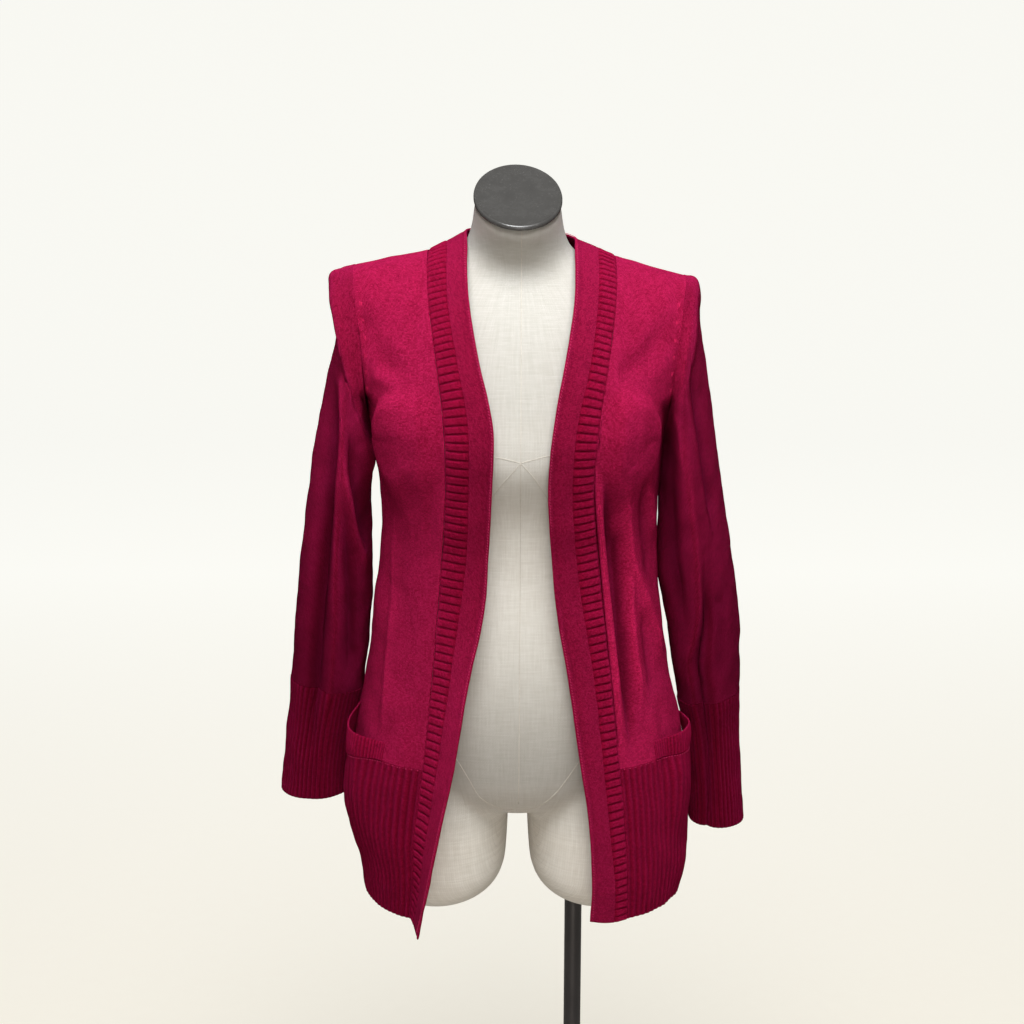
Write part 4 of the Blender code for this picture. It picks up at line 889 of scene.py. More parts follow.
def folds_at(folds, points):
    """How far the folds stand out at each point, told by its place seen from the front."""
    out = np.zeros(points.shape[:-1])
    for fold in folds:
        run = np.array([fold.bottom_x - fold.top_x, fold.bottom_z - fold.top_z])
        length = np.linalg.norm(run)
        run /= length
        from_x, from_z = points[..., 0] - fold.top_x, points[..., 2] - fold.top_z
        share = (from_x * run[0] + from_z * run[1]) / length
        off = from_x * -run[1] + from_z * run[0] - fold.bow * 4 * share * (1 - share)
        off = off / (fold.width * (1 + fold.lean * np.tanh(off / fold.width)))
        out += fold.height * ease(0.0, FOLD_RISEN_AT, share) * (1 - ease(FOLD_SINKS_FROM, 1.0,
                share)) * np.exp(-off ** 2)
    return out


CREASE_STEPS = 8
CREASE_RISEN_AT = 0.24
CREASE_SINKS_FROM = 0.76


def crease_relief(creases, points):
    """How far the creases stand out. A path that runs down has its right flank on the right."""
    flat = points[..., [0, 2]].reshape(-1, 2)
    out = np.zeros(len(flat))
    for crease in creases:
        line = np.array(crease.path)
        path = through(line, np.linspace(0, len(line) - 1, CREASE_STEPS * len(line)))
        heading = np.gradient(path, axis=0)
        spacing = np.linalg.norm(heading, axis=1)
        heading /= spacing[:, None]
        reach = 3 * max(crease.left, crease.right)
        inside = np.all((flat > path.min(0) - reach) & (flat < path.max(0) + reach), axis=1)
        near = np.flatnonzero(inside)
        offset = flat[near, None] - path[None]
        k = (offset ** 2).sum(-1).argmin(1)
        off, ahead = offset[np.arange(len(near)), k], heading[k]
        aside = ahead[:, 0] * off[:, 1] - ahead[:, 1] * off[:, 0]
        share = (k + (off * ahead).sum(-1) / spacing[k]) / (len(path) - 1)
        ends = ease(0.0, CREASE_RISEN_AT, share) * (1 - ease(CREASE_SINKS_FROM, 1.0, share))
        width = np.where(aside > 0, crease.right, crease.left)
        out[near] += crease.height * ends * np.exp(-(np.abs(aside) / width) ** crease.power)
    return out.reshape(points.shape[:-1])


FLAT_TONE = 0.84
HOLLOW_SHADE = 78.0
CREST_HIGHLIGHT = 62.0
DARKEST_TONE = 0.26
BRIGHTEST_TONE = 1.25


def crease_shade_and_highlight(relief):
    """Painted shade in the bottom of a crease, and a painted highlight along its crest."""
    return np.clip(FLAT_TONE + np.where(relief < 0, HOLLOW_SHADE, CREST_HIGHLIGHT) * relief, DARKEST_TONE,
                   BRIGHTEST_TONE)


DOME_FALLS_FROM = 0.30
DOME_STEEPER_OUTSIDE = 0.45


def dome_relief(domes, points):
    """Round fullness, such as a bust's: nearly flat in its middle, steep on its outer side."""
    out = np.zeros(points.shape[:-1])
    for dome in domes:
        from_x = (points[..., 0] - dome.x) * np.sign(dome.x)
        from_z = points[..., 2] - dome.z
        far = np.hypot(from_x / np.where(from_x > 0, dome.outward, dome.inward),
                       from_z / np.where(from_z > 0, dome.up, dome.down))
        aside = np.clip(from_x / dome.outward / np.maximum(far, 0.01), 0.0, 1.0)
        out += dome.height * (1 - ease(DOME_FALLS_FROM + DOME_STEEPER_OUTSIDE * aside, 1.0, far))
    return out


HOLLOW_STARTS_Y = -0.006
HOLLOW_FULL_Y = -0.030


def armpit_hollow(points):
    """How deep the cloth of body and sleeve alike is drawn back where the armhole meets the bust."""
    return crease_relief(ARMPIT_HOLLOWS, points) * ease(HOLLOW_STARTS_Y, HOLLOW_FULL_Y, points[..., 1])


LUMPS = ((0.110, 1.0), (0.070, 0.8), (0.045, 0.5), (0.028, 0.32), (0.017, 0.2))
LUMP_HEIGHT = 0.0005


def unevenness(points, size=LUMP_HEIGHT):
    """The small lumps and hollows of hung knitting, told by place alone so that they run on across seams."""
    chance = np.random.default_rng(5)
    out = np.zeros(points.shape[:-1])
    for wavelength, share in LUMPS:
        for _ in range(3):
            direction = chance.normal(size=3) * [1.0, 1.0, 0.45]
            direction *= 2 * math.pi / wavelength / np.linalg.norm(direction)
            out += share * np.sin(points @ direction + chance.uniform(0, 2 * math.pi))
    return size * out


def spread(start, end, count, low_edge=0.0, high_edge=0.0):
    """Places from start to end, closer together within each edge's own width."""
    even = np.linspace(start + low_edge, end - high_edge, count)
    low = start + low_edge * np.array([0.0, 0.12, 0.38, 0.68] if low_edge else [])
    high = end - high_edge * np.array([0.68, 0.38, 0.12, 0.0] if high_edge else [])
    return np.concatenate([low, even, high])


def distances(points, axis, closed=False):
    """Lengths along the grid's rows (axis 1) or columns (axis 0), from its first line."""
    if closed:
        points = np.concatenate([points, points[:, :1]], axis=1)
    steps = np.linalg.norm(np.diff(points, axis=axis), axis=-1)
    start = np.zeros_like(np.take(steps, [0], axis=axis))
    return np.cumsum(np.concatenate([start, steps], axis=axis), axis=axis)


def rounded(distance, edge):
    """1 away from an edge, falling in a quarter circle: far at a free edge, a little at a seam."""
    radius, least = EDGES.get(edge, edge)
    return least + (1 - least) * np.sqrt(1 - (1 - np.clip(distance / radius, 0, 1)) ** 2)


def edge_shape(inner, edges, closed=False):
    """How full the cloth is at each point: thinner towards its first and last columns and rows."""
    full = np.ones(inner.shape[:2])
    along = distances(inner, 0)
    if edges[2]:
        full *= rounded(along, edges[2])
    if edges[3]:
        full *= rounded(along[-1:] - along, edges[3])
    if not closed:
        across = distances(inner, 1)
        if edges[0]:
            full *= rounded(across, edges[0])
        if edges[1]:
            full *= rounded(across[:, -1:] - across, edges[1])
    return full


def cloth_piece(name, inner, sign, thickness, material, edges, closed=False, relief=0.0, rib=None,
                across_from=None, normals=None):
    """A closed wall of cloth on a grid of points, which is its inner face."""
    rows, columns = inner.shape[:2]
    if normals is None:
        normals = grid_normals(inner, sign, closed)
    full = edge_shape(inner, edges, closed)[..., None]
    lift = np.broadcast_to(relief, (rows, columns))[..., None]
    outer = inner + normals * (0.5 * thickness * (1 + full) + lift * full)
    under = inner + normals * 0.5 * thickness * (1 - full)
    across = distances(inner, 1, closed)
    if across_from is not None:
        across = across + across_from[:, None]
    along = distances(inner, 0)
    if closed:
        along = np.concatenate([along, along[:, :1]], axis=1)
    points = np.concatenate([outer.reshape(-1, 3), under.reshape(-1, 3)])
    count = rows * columns
    i, j = (a.ravel() for a in np.meshgrid(np.arange(rows - 1),
            np.arange(columns if closed else columns - 1), indexing="ij"))
    ci, cj = np.stack([i, i, i + 1, i + 1], -1), np.stack([j, j + 1, j + 1, j], -1)
    skin = ci * columns + cj % columns
    faces, places = [skin, count + skin[:, ::-1]], [(ci, cj), (ci[:, ::-1], cj[:, ::-1])]

    def add_rim(a_i, a_j, b_i, b_j):
        a, b = a_i * columns + a_j % columns, b_i * columns + b_j % columns
        faces.append(np.stack([a, b, count + b, count + a], -1))
        places.append((np.stack([a_i, b_i, b_i, a_i], -1), np.stack([a_j, b_j, b_j, a_j], -1)))

    k = np.arange(columns if closed else columns - 1)
    add_rim(0 * k, k + 1, 0 * k, k)
    add_rim(0 * k + rows - 1, k, 0 * k + rows - 1, k + 1)
    if not closed:
        k = np.arange(rows - 1)
        add_rim(k, 0 * k, k + 1, 0 * k)
        add_rim(k + 1, 0 * k + columns - 1, k, 0 * k + columns - 1)
    faces = np.concatenate(faces)
    place_i = np.concatenate([p[0] for p in places])
    place_j = np.concatenate([p[1] for p in places])
    if sign < 0:
        faces, place_i, place_j = faces[:, ::-1], place_i[:, ::-1], place_j[:, ::-1]
    mesh = bpy.data.meshes.new(name)
    mesh.from_pydata(points.tolist(), [], faces.tolist())
    knit = mesh.uv_layers.new(name="knit")
    knit.data.foreach_set("uv", np.stack([across[place_i, place_j], along[place_i, place_j]],
            -1).astype(np.float32).ravel())
    # Each point's painted shade and highlight, kept in the rib attribute for the material.
    painted_shade_values = np.ones((rows, columns)) if rib is None else np.broadcast_to(rib, (rows, columns))
    tone = mesh.attributes.new("rib", "FLOAT", "POINT")
    tone.data.foreach_set("value", np.concatenate([painted_shade_values.ravel(),
            painted_shade_values.ravel()]).astype(np.float32))
    mesh.shade_smooth()
    piece = new_piece(name, mesh, material)
    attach(piece, "root")
    return piece


# Stockinette: columns of V-shaped stitches, each leg a slanting oval of yarn.
knit_group = bpy.data.node_groups.new("knitted_stitches", "ShaderNodeTree")
for socket_name in ("Wale", "Course"):
    knit_group.interface.new_socket(socket_name, in_out="INPUT", socket_type="NodeSocketFloat")
for socket_name in ("Height", "Yarn Tone"):
    knit_group.interface.new_socket(socket_name, in_out="OUTPUT", socket_type="NodeSocketFloat")
knit_in = knit_group.nodes.new("NodeGroupInput")
knit_out = knit_group.nodes.new("NodeGroupOutput")
knit_uv = add_node(knit_group, "ShaderNodeUVMap", uv_map="knit").outputs["UV"]
knit_xy = add_node(knit_group, "ShaderNodeSeparateXYZ", {0: knit_uv})
knit_wobble = add_node(knit_group, "ShaderNodeTexNoise", {"Vector": knit_uv, "Scale": 260.0, "Detail": 1.0})
wobble = calc(knit_group, "MULTIPLY", calc(knit_group, "SUBTRACT", knit_wobble.outputs["Fac"], 0.5), 0.5)
wale_count = calc(knit_group, "ADD", calc(knit_group, "DIVIDE", knit_xy.outputs["X"],
        knit_in.outputs["Wale"]), wobble)
from_middle = calc(knit_group, "ABSOLUTE", calc(knit_group, "SUBTRACT",
        calc(knit_group, "FRACT", wale_count), 0.5))
course_count = calc(knit_group, "SUBTRACT", calc(knit_group, "DIVIDE", knit_xy.outputs["Y"],
        knit_in.outputs["Course"]),
                    calc(knit_group, "MULTIPLY", from_middle, 1.3))
off_leg = calc(knit_group, "MULTIPLY", calc(knit_group, "SUBTRACT", from_middle, 0.25), 4.0)
leg = calc(knit_group, "SUBTRACT", 1.0, calc(knit_group, "MULTIPLY", off_leg, off_leg))
yarn = calc(knit_group, "ABSOLUTE", calc(knit_group, "SINE", calc(knit_group, "MULTIPLY", course_count,
        math.pi)))
knit_height = calc(knit_group, "MULTIPLY", leg, calc(knit_group, "MULTIPLY_ADD", yarn, 0.6, 0.4))
stitch_place = add_node(knit_group, "ShaderNodeCombineXYZ", {"X": calc(knit_group, "FLOOR", wale_count),
                                                            "Y": calc(knit_group, "FLOOR", course_count)})
stitch_tone = add_node(knit_group, "ShaderNodeTexWhiteNoise", {"Vector": stitch_place.outputs[0]})
knit_group.links.new(knit_height, knit_out.inputs["Height"])
knit_group.links.new(stitch_tone.outputs["Value"], knit_out.inputs["Yarn Tone"])


HEATHER_SCALE = 45.0
FUZZ_SCALE = 700.0
YARN_SHARE = 0.25
HEATHER_SHARE = 0.12
FUZZ_SHARE = 0.63
FUZZ_RELIEF = 0.9


def wool_material(name, light, mid, dark, wale, course, stitch_depth, shade_low):
    """Fine dyed wool: stitches and a fuzz of short fibres, with painted shade between the stitches and the
    piece's own painted shade and highlights.
    """
    material, shader, tree = new_material(name, 0.88)
    place = add_node(tree, "ShaderNodeTexCoord").outputs["Object"]
    stitches = add_node(tree, "ShaderNodeGroup", {}, node_tree=knit_group)
    stitches.inputs["Wale"].default_value = wale
    stitches.inputs["Course"].default_value = course
    heather = add_node(tree, "ShaderNodeTexNoise", {"Vector": place, "Scale": HEATHER_SCALE, "Detail": 3.0,
            "Roughness": 0.5})
    fuzz = add_node(tree, "ShaderNodeTexNoise", {"Vector": place, "Scale": FUZZ_SCALE, "Detail": 3.0,
            "Roughness": 0.7})
    tone = calc(tree, "MULTIPLY_ADD", stitches.outputs["Yarn Tone"], YARN_SHARE,
                calc(tree, "MULTIPLY", heather.outputs["Fac"], HEATHER_SHARE))
    tone = calc(tree, "MULTIPLY_ADD", fuzz.outputs["Fac"], FUZZ_SHARE, tone)
    yarn_colour = blend_colours(tree, ramp(tree, tone, 0.26, 0.72), mid, light)
    stitch_shade = ramp(tree, stitches.outputs["Height"], 0.0, 0.85, shade_low, 1.0)
    # The rib attribute carries each piece's painted shade and painted highlights: rib grooves, crease
    # hollows and crests, darker sleeves.
    rib = add_node(tree, "ShaderNodeAttribute", None, attribute_name="rib").outputs["Fac"]
    lit = calc(tree, "MULTIPLY", stitch_shade, rib)
    tree.links.new(blend_colours(tree, lit, dark, yarn_colour), shader.inputs["Base Color"])
    relief = calc(tree, "MULTIPLY_ADD", fuzz.outputs["Fac"], FUZZ_RELIEF, stitches.outputs["Height"])
    add_bump(tree, shader, relief, stitch_depth, 0.9)
    shader.inputs["Sheen Weight"].default_value = 0.30
    shader.inputs["Sheen Roughness"].default_value = 0.38
    shader.inputs["Sheen Tint"].default_value = (1.0, 0.035, 0.24, 1.0)
    shader.inputs["Specular IOR Level"].default_value = 0.01
    return material


jersey_wool = wool_material("raspberry_jersey", (0.82, 0.022, 0.135), (0.30, 0.0045, 0.032),
        (0.03, 0.0, 0.002),
                            0.0021, 0.0015, 0.0011, 0.34)


def pocket_share(u):
    """How far a column of the front lies from the mouth's inner corner (0) to the side seam (1)."""
    return ((u - BAND) / PANEL_COLUMNS - POCKET_START) / (1 - POCKET_START)


def panel_dent(u, height):
    """How far the front hangs back behind the mouth."""
    share = pocket_share(u)
    across = np.sin(math.pi * np.clip(share / DENT_TO, 0, 1)) * ease(0.0, 0.25, share)
    return PANEL_DENT * across * (1 - ease(RIB_TOP, RIB_TOP + 0.09, height))


def front_creases(points, u):
    return crease_relief(FRONT_CREASES, points) * ease(BAND, BAND + 0.25, u) * (1 - ease(12.6, 13.0, u))


FOLDS_FADE_FROM = 11.6
DRAG_FADES_FROM = 12.2
BUST_FADES_FROM = 12.35
SHOULDER_FADES_FROM = 21.5


def front_surface(side, v, u):
    """The front's own surface with its folds, and the directions square to it."""
    net = front_nets[side]
    sign = side_sign(side)
    points = on_net(net, v, u)
    normals = net_normals(net, v, u, sign)
    out = folds_at(FRONT_FOLDS, points) * ease(BAND, BAND + 0.9, u) * (1 - ease(FOLDS_FADE_FROM, 13.0, u))
    out += front_creases(points, u)
    soft = crease_relief(DRAG_LINES, points) * ease(BAND, BAND + 1.2, u) * (1 - ease(DRAG_FADES_FROM, 13.0,
            u))
    soft += dome_relief(BUST_DOMES, points) * ease(BAND, BAND + 1.6, u) * (1 - ease(BUST_FADES_FROM, 13.0,
            u))
    out = (out + soft + unevenness(points) * ease(BAND, BAND + 1.5, u)) * (1 - ease(SHOULDER_FADES_FROM,
            23.0, v))
    moved = points + normals * out[..., None]
    moved[..., 1] += armpit_hollow(points)
    return moved, normals


ARMPIT_SHADE = 0.7


last_row = HEM_ROWS + BODY_ROWS + ARMHOLE_ROWS
last_column = BAND + PANEL_COLUMNS
FRONT_LOW_SHADING = {"right": 1.10, "left": 0.84}
for side in ("right", "left"):
    v = spread(HEM_ROWS + 0.003, last_row - 0.006, PANEL_GRID[0], 0.03, 0.05)[:, None]
    u = spread(BAND + 0.006, last_column - 0.008, PANEL_GRID[1], 0.05, 0.05)[None, :]
    points, normals = front_surface(side, v, u)
    points = points - normals * panel_dent(u, points[..., 2])[..., None]
    seam_x = np.abs(points[:, 0, 0])
    plain = on_net(front_nets[side], v, u)
    # Painted shade in the creases and armpit hollows, painted highlights on the crests, and lower down the
    # right front painted lighter and the left darker.
    tone = crease_shade_and_highlight(front_creases(plain, u) - ARMPIT_SHADE * crease_relief(ARMPIT_HOLLOWS, plain))
    tone = tone * mix(1.0, FRONT_LOW_SHADING[side], ease(1.16, 0.96, plain[..., 2]))
    piece = cloth_piece(side + "_front_panel_knit", points, side_sign(side), JERSEY, jersey_wool,
                        ("seam", "joined", "seam", "joined"), across_from=seam_x, rib=tone)
    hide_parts(side + "_front_panel")


# ------------------------------------------------------------------ back panel
# One piece of the same jersey from the hem ribbing to the shoulders, shaped at the armholes and back neck.
# It hangs from the shoulder blades in long soft folds, with drag lines across the waist.
BACK_HEM_LIFT = 0.034
NECK_COLUMNS = 6
BACK_FULLNESS = 2.2
BACK_RIDGE_HEIGHT = 1.400
BACK_NECK_SEAM_HEIGHT = 1.354
ARMHOLE_DEPTH_BACK = 0.062
BACK_GRID = (150, 120)


def back_bottom_row(side, height):
    """A level row of half the back, from the side seam to the centre."""
    half_width, depth, corner = (smooth_between(BODY_SECTIONS, height, name) for name in ("half_width",
            "back", "corner"))
    columns = PANEL_COLUMNS + NECK_COLUMNS
    row = []
    for k in range(columns + 1):
        x, y = ring_reach(math.pi / 2 * (1 - k / columns), half_width, depth, corner)
        lift = BACK_HEM_LIFT * (1 - ease(HEM_HEIGHT, RIB_TOP, height)) * ease(0.0, 0.8, k / columns)
        row.append([side_sign(side) * x, y, height + lift])
    row[0] = [side_sign(side) * half_width, 0.0, height]
    row[-1][0] = 0.0
    return np.array(row)


def back_half_rows(side):
    """Rows of half the back, each from the side seam or armhole to the centre back."""
    front = front_nets[side]
    shoulder = SHOULDERS[side]
    columns = PANEL_COLUMNS + NECK_COLUMNS
    rows = [back_bottom_row(side, height) for height in row_heights]
    bottom = rows[-1]
    top_x, turn_end, crest = [], [], []
    for k in range(columns + 1):
        if k <= PANEL_COLUMNS:
            top_x.append(front[-1][-1 - k][0])
            crest.append(front[-1][-1 - k][2])
            turn_end.append(math.pi / 2)
            continue
        sweep = math.cos(math.pi / 2 * (k - PANEL_COLUMNS) / NECK_COLUMNS)
        top_x.append(side_sign(side) * shoulder.seam_x * sweep)
        crest.append(mix(BACK_RIDGE_HEIGHT, shoulder.seam_height, sweep))
        neck_height = mix(BACK_NECK_SEAM_HEIGHT, shoulder.seam_height, sweep ** 2.2)
        turn_end.append(math.asin(((neck_height - ARMPIT_HEIGHT) / (crest[-1]
                - ARMPIT_HEIGHT)) ** (BACK_FULLNESS / 2)))
    top_x, turn_end, crest = np.array(top_x), np.array(turn_end), np.array(crest)
    fade = (1 - np.arange(columns + 1) / columns)[:, None] ** 3
    for level in range(1, ARMHOLE_ROWS + 1):
        share = level / ARMHOLE_ROWS
        rise = np.sin(turn_end * share) ** (2 / BACK_FULLNESS)
        reach = np.maximum(0.0, np.cos(turn_end * share)) ** (2 / BACK_FULLNESS)
        row = np.stack([mix(bottom[:, 0], top_x, share), bottom[:, 1] * reach,
                        mix(ARMPIT_HEIGHT, crest, rise)], -1)
        if level < ARMHOLE_ROWS:
            armhole = armhole_point(side, share, ARMHOLE_DEPTH_BACK)
            row = row + (armhole - row[0]) * fade
        else:
            row[:PANEL_COLUMNS + 1] = front[-1][:BAND - 1:-1]
        row[-1][0] = 0.0
        rows.append(row)
    return settled(np.array(rows))


back_halves = {side: back_half_rows(side) for side in ("right", "left")}
back_net = np.concatenate([back_halves["right"], back_halves["left"][:, -2::-1]], axis=1)


def back_surface(v, u):
    points = on_net(back_net, v, u)
    normals = net_normals(back_net, v, u, 1.0)
    inside = ease(0.0, 1.6, u) * (1 - ease(28.4, 30.0, u))
    out = (folds_at(BACK_FOLDS, points) * inside + unevenness(points)) * (1 - ease(SHOULDER_FADES_FROM,
            23.0, v))
    return points + normals * out[..., None], normals


# Painted shade in the back's fold hollows and painted highlights on their crests.
def back_fold_shade(v, u):
    return crease_shade_and_highlight(0.6 * folds_at(BACK_FOLDS, on_net(back_net, v, u)))


v = spread(HEM_ROWS + 0.003, last_row - 0.006, BACK_GRID[0], 0.03, 0.05)[:, None]
u = spread(0.008, 29.992, BACK_GRID[1], 0.05, 0.05)[None, :]
points, normals = back_surface(v, u)
back_piece = cloth_piece("back_panel_knit", points, 1.0, JERSEY, jersey_wool,
                         ("joined", "joined", "seam", "joined"), across_from=-points[:, 0, 0],
                         rib=back_fold_shade(v, u))
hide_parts("back_panel")


# ------------------------------------------------------------------ hem ribbing
# Deep upright ribs knitted on below the body, thicker than the jersey: narrow rounded ridges with dark
# grooves. In front it is also the outer wall of each pocket, so it bellies forward under the mouth and sags.
RIBBING = 0.003
HEM_RIB = 0.0080
RIB_DEPTH = 0.0016
HEM_SAMPLES = 7
POCKET_SAG = {"right": 0.007, "left": 0.018}
POCKET_FULLNESS = {"right": 0.009, "left": 0.011}
POCKET_FLOOR = 0.685
MOUTH_TO = 0.985

rib_wool = wool_material("raspberry_ribbing", (0.50, 0.007, 0.062), (0.20, 0.002, 0.018),
        (0.035, 0.0, 0.002),
                         0.0021, 0.0016, 0.0009, 0.35)


def pocket_bulge(side, share, height):
    """How far the pocket's outer layer stands off the body."""
    across = np.sin(math.pi * np.clip(share / MOUTH_TO, 0, 1)) * ease(0.0, 0.35, share)
    return POCKET_FULLNESS[side] * across * ease(POCKET_FLOOR, RIB_TOP, height)


def pocket_sag(side, share, height):
    """How far the ribbing hangs down under the mouth."""
    return POCKET_SAG[side] * ease(0.0, 1.0, share) * ease(HEM_HEIGHT, RIB_TOP, height)


def upright_rib(phase):
    """A rib's height, from 0 in the groove to 1 on its rounded top."""
    return np.abs(np.cos(math.pi * phase)) ** 1.25


def rib_groove_shade(rib):
    """Painted shade only in the narrow bottom of the groove."""
    return 0.30 + 0.62 * rib ** 0.55


def even_columns(net, v, start, end, count, closed=False):
    """Columns at even distances along one row of a net."""
    fine = np.linspace(start, end, 600)
    line = on_net(net, np.full(600, v), fine, closed)
    length = np.concatenate([[0.0], np.cumsum(np.linalg.norm(np.diff(line, axis=0), axis=1))])
    return np.interp(np.linspace(0, length[-1], count), length, fine), length[-1]


def ribbed_columns(net, v, start, end, pitch, samples, closed=False):
    """Columns that sample whole ribs evenly, and each column's place in its rib."""
    length = even_columns(net, v, start, end, 2, closed)[1]
    ribs = round(length / pitch)
    columns = even_columns(net, v, start, end, ribs * samples + 1, closed)[0]
    return columns, np.arange(ribs * samples + 1) / samples


# Painted shade on the front hem ribbing, deeper on the left.
HEM_SHADE = {"right": 0.86, "left": 0.72}
for side in ("right", "left"):
    v = spread(0.004, HEM_ROWS - 0.003, 40, 0.05, 0.03)[:, None]
    u, phase = ribbed_columns(front_nets[side], 2.0, BAND + 0.006, last_column - 0.008, HEM_RIB, HEM_SAMPLES)
    points, normals = front_surface(side, v, u[None, :])
    share = pocket_share(u[None, :])
    flat_height = points[..., 2]
    shift = pocket_bulge(side, share, flat_height)
    points = points + normals * shift[..., None]
    points[..., 2] -= pocket_sag(side, share, flat_height)
    rib = upright_rib(phase)[None, :]
    piece = cloth_piece(side + "_hem_ribs", points, side_sign(side), RIBBING - RIB_DEPTH, rib_wool,
                        ("seam", "seam", "free", "seam"), relief=RIB_DEPTH * rib,
                        rib=rib_groove_shade(rib) * HEM_SHADE[side])
    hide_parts(side + "_hem_ribbing")

v = spread(0.004, HEM_ROWS - 0.003, 36, 0.05, 0.03)[:, None]
u, phase = ribbed_columns(back_net, 2.0, 0.008, 29.992, HEM_RIB, 6)
points, normals = back_surface(v, u[None, :])
rib = upright_rib(phase)[None, :]
back_hem = cloth_piece("back_hem_ribs", points, 1.0, RIBBING - RIB_DEPTH, rib_wool,
                       ("seam", "seam", "free", "seam"), relief=RIB_DEPTH * rib, rib=rib_groove_shade(rib))
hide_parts("back_hem_ribbing")


# ------------------------------------------------------------------ front band
# A double band runs from one hem up round the back neck and down to the other: an outer strip ribbed across
# its width, sewn to the body, and an inner strip of plain jersey that turns under at the opening's edge.
BACK_NECK_EDGE = (0.064, 1.402)
BAND_RIB = 0.0096
SHOULDER_RIB = 0.0074
BAND_RIB_DEPTH = 0.0018
BAND_STEP = 0.0010
EDGE_ROLL = 0.0007


def neck_section(k):
    """A section of the band round the back neck, from the right shoulder (0) to the left (12)."""
    turn = math.pi * k / (2 * NECK_COLUMNS)
    side = "right" if k <= NECK_COLUMNS else "left"
    column = PANEL_COLUMNS + (k if side == "right" else 2 * NECK_COLUMNS - k)
    sweep = abs(math.cos(turn))
    edge = np.array([side_sign(side) * SHOULDERS[side].neck_x * sweep, BACK_NECK_EDGE[0] * math.sin(turn),
                     mix(BACK_NECK_EDGE[1], SHOULDERS[side].neck_height, sweep ** 1.5)])
    seam = back_halves[side][-1][column]
    return np.array([mix(edge, seam, j / BAND) for j in range(BAND + 1)])


band_net = np.concatenate([front_nets["right"][:, :BAND + 1],
                           np.array([neck_section(k) for k in range(1, 2 * NECK_COLUMNS)]),
                           front_nets["left"][::-1, :BAND + 1]])
band_net[0, :3, 2] += [0.0077, 0.0030, 0.0003]
band_rows = len(band_net) - 1
fine_rows = np.linspace(0, band_rows, 4000)
middle_line = on_net(band_net, fine_rows, np.full(4000, 3.0))
band_length = np.concatenate([[0.0], np.cumsum(np.linalg.norm(np.diff(middle_line, axis=0), axis=1))])
rib_pitch = mix(BAND_RIB, SHOULDER_RIB, ease(1.22, 1.34, middle_line[:, 2]))
rib_count = np.concatenate([[0.0], np.cumsum(np.diff(band_length) / rib_pitch[1:])])


def band_strip(name, start, end, count, step, thickness, material, edges, ribbed):
    """One strip of the band between two of its columns, sampled evenly along its length."""
    steps = int(band_length[-1] / step)
    lengths = np.concatenate([[0.0, 0.0005, 0.0012], np.linspace(0.002, band_length[-1] - 0.002, steps),
                              band_length[-1] - np.array([0.0012, 0.0005, 0.0])])
    v = np.clip(np.interp(lengths, band_length, fine_rows), 0.006, band_rows - 0.006)[:, None]
    u = spread(start, end, count, 0.12, 0.12)[None, :]
    points = on_net(band_net, v, u)
    normals = net_normals(band_net, v, u, 1.0)
    middle = on_net(band_net, v, np.full_like(v, 0.5 * (start + end)))
    along = np.gradient(middle, lengths, axis=0)
    along /= np.linalg.norm(along, axis=-1, keepdims=True)
    placed = lengths[:, None] + ((points - middle) * along).sum(-1)
    out = unevenness(points, 0.0003)
    points = points + normals * out[..., None]
    if ribbed:
        phase = np.interp(placed, band_length, rib_count)
        phase = phase + 0.07 * np.sin(placed * 23.0) + 0.05 * np.sin(placed * 61.0 + 1.0)
        part = phase - np.floor(phase)
        share = (u - start) / (end - start)
        ends = ease(0.0, 0.16, share) * (1 - ease(0.86, 1.0, share))
        rib = ease(0.0, 0.14, part) * (1 - ease(0.76, 0.92, part))
        relief = BAND_RIB_DEPTH * rib * ends * (1 - 0.25 * part)
        # Painted shade in the grooves between the ribs and towards the rib ends.
        tone = 0.34 + 0.66 * rib * mix(0.75, 1.0, ends)
    else:
        relief = EDGE_ROLL * np.exp(-((u - start) / 0.22) ** 2) - 0.0004 * np.exp(
                -((u - start - 0.42) / 0.12) ** 2)
        relief = np.broadcast_to(relief, points.shape[:2])
        # A line of painted shade along the dip beside the rolled edge.
        tone = np.ones(points.shape[:2]) - 0.18 * np.exp(-((u - start - 0.40) / 0.10) ** 2)
    return cloth_piece(name, points, 1.0, thickness, material, edges, relief=relief, rib=tone)


strip_wool = wool_material("raspberry_plain_band", (0.52, 0.013, 0.078), (0.20, 0.003, 0.024),
        (0.05, 0.0, 0.005),
                           0.0016, 0.0018, 0.0010, 0.28)
plain_strip = band_strip("band_plain_knit", 0.012, STRIP_COLUMNS - 0.005, 12, 0.0034, RIBBING - EDGE_ROLL,
        strip_wool,
                         ("free", "joined", "free", "free"), False)
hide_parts("band_plain_strip")
ribbed_strip = band_strip("band_ribs", STRIP_COLUMNS + 0.005, BAND - 0.008, 10, BAND_STEP,
        RIBBING - BAND_RIB_DEPTH, rib_wool,
                          ("joined", "seam", "free", "free"), True)
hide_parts("band_ribbed_strip")


# ------------------------------------------------------------------ pocket bands and bags
# Each pocket opens above the hem ribbing. Its mouth is finished with a ribbed band two to three centimetres
# deep, sewn down at both ends; a bag of thin jersey hangs behind the ribbing.
POCKET_BAND_HEIGHT = 0.022
POCKET_PEAK = {"right": 0.003, "left": 0.015}
POCKET_BAND_CLOTH = 0.0024
POCKET_RIB = 0.0042
POCKET_RIB_DEPTH = 0.0009
MOUTH_LEAN = 0.002
MOUTH_FROM = 0.012
MOUTH_SEAM = 0.001
MOUTH_END_THIN = 0.45
SEAM_GAP = 0.0003
BAG_CLOTH = 0.0015
BAG_FROM = 0.04
BAG_TO = 0.90
BAG_DROP = 0.0012
BAG_SLACK = 0.006
BAG_CLEARANCE = 0.0018


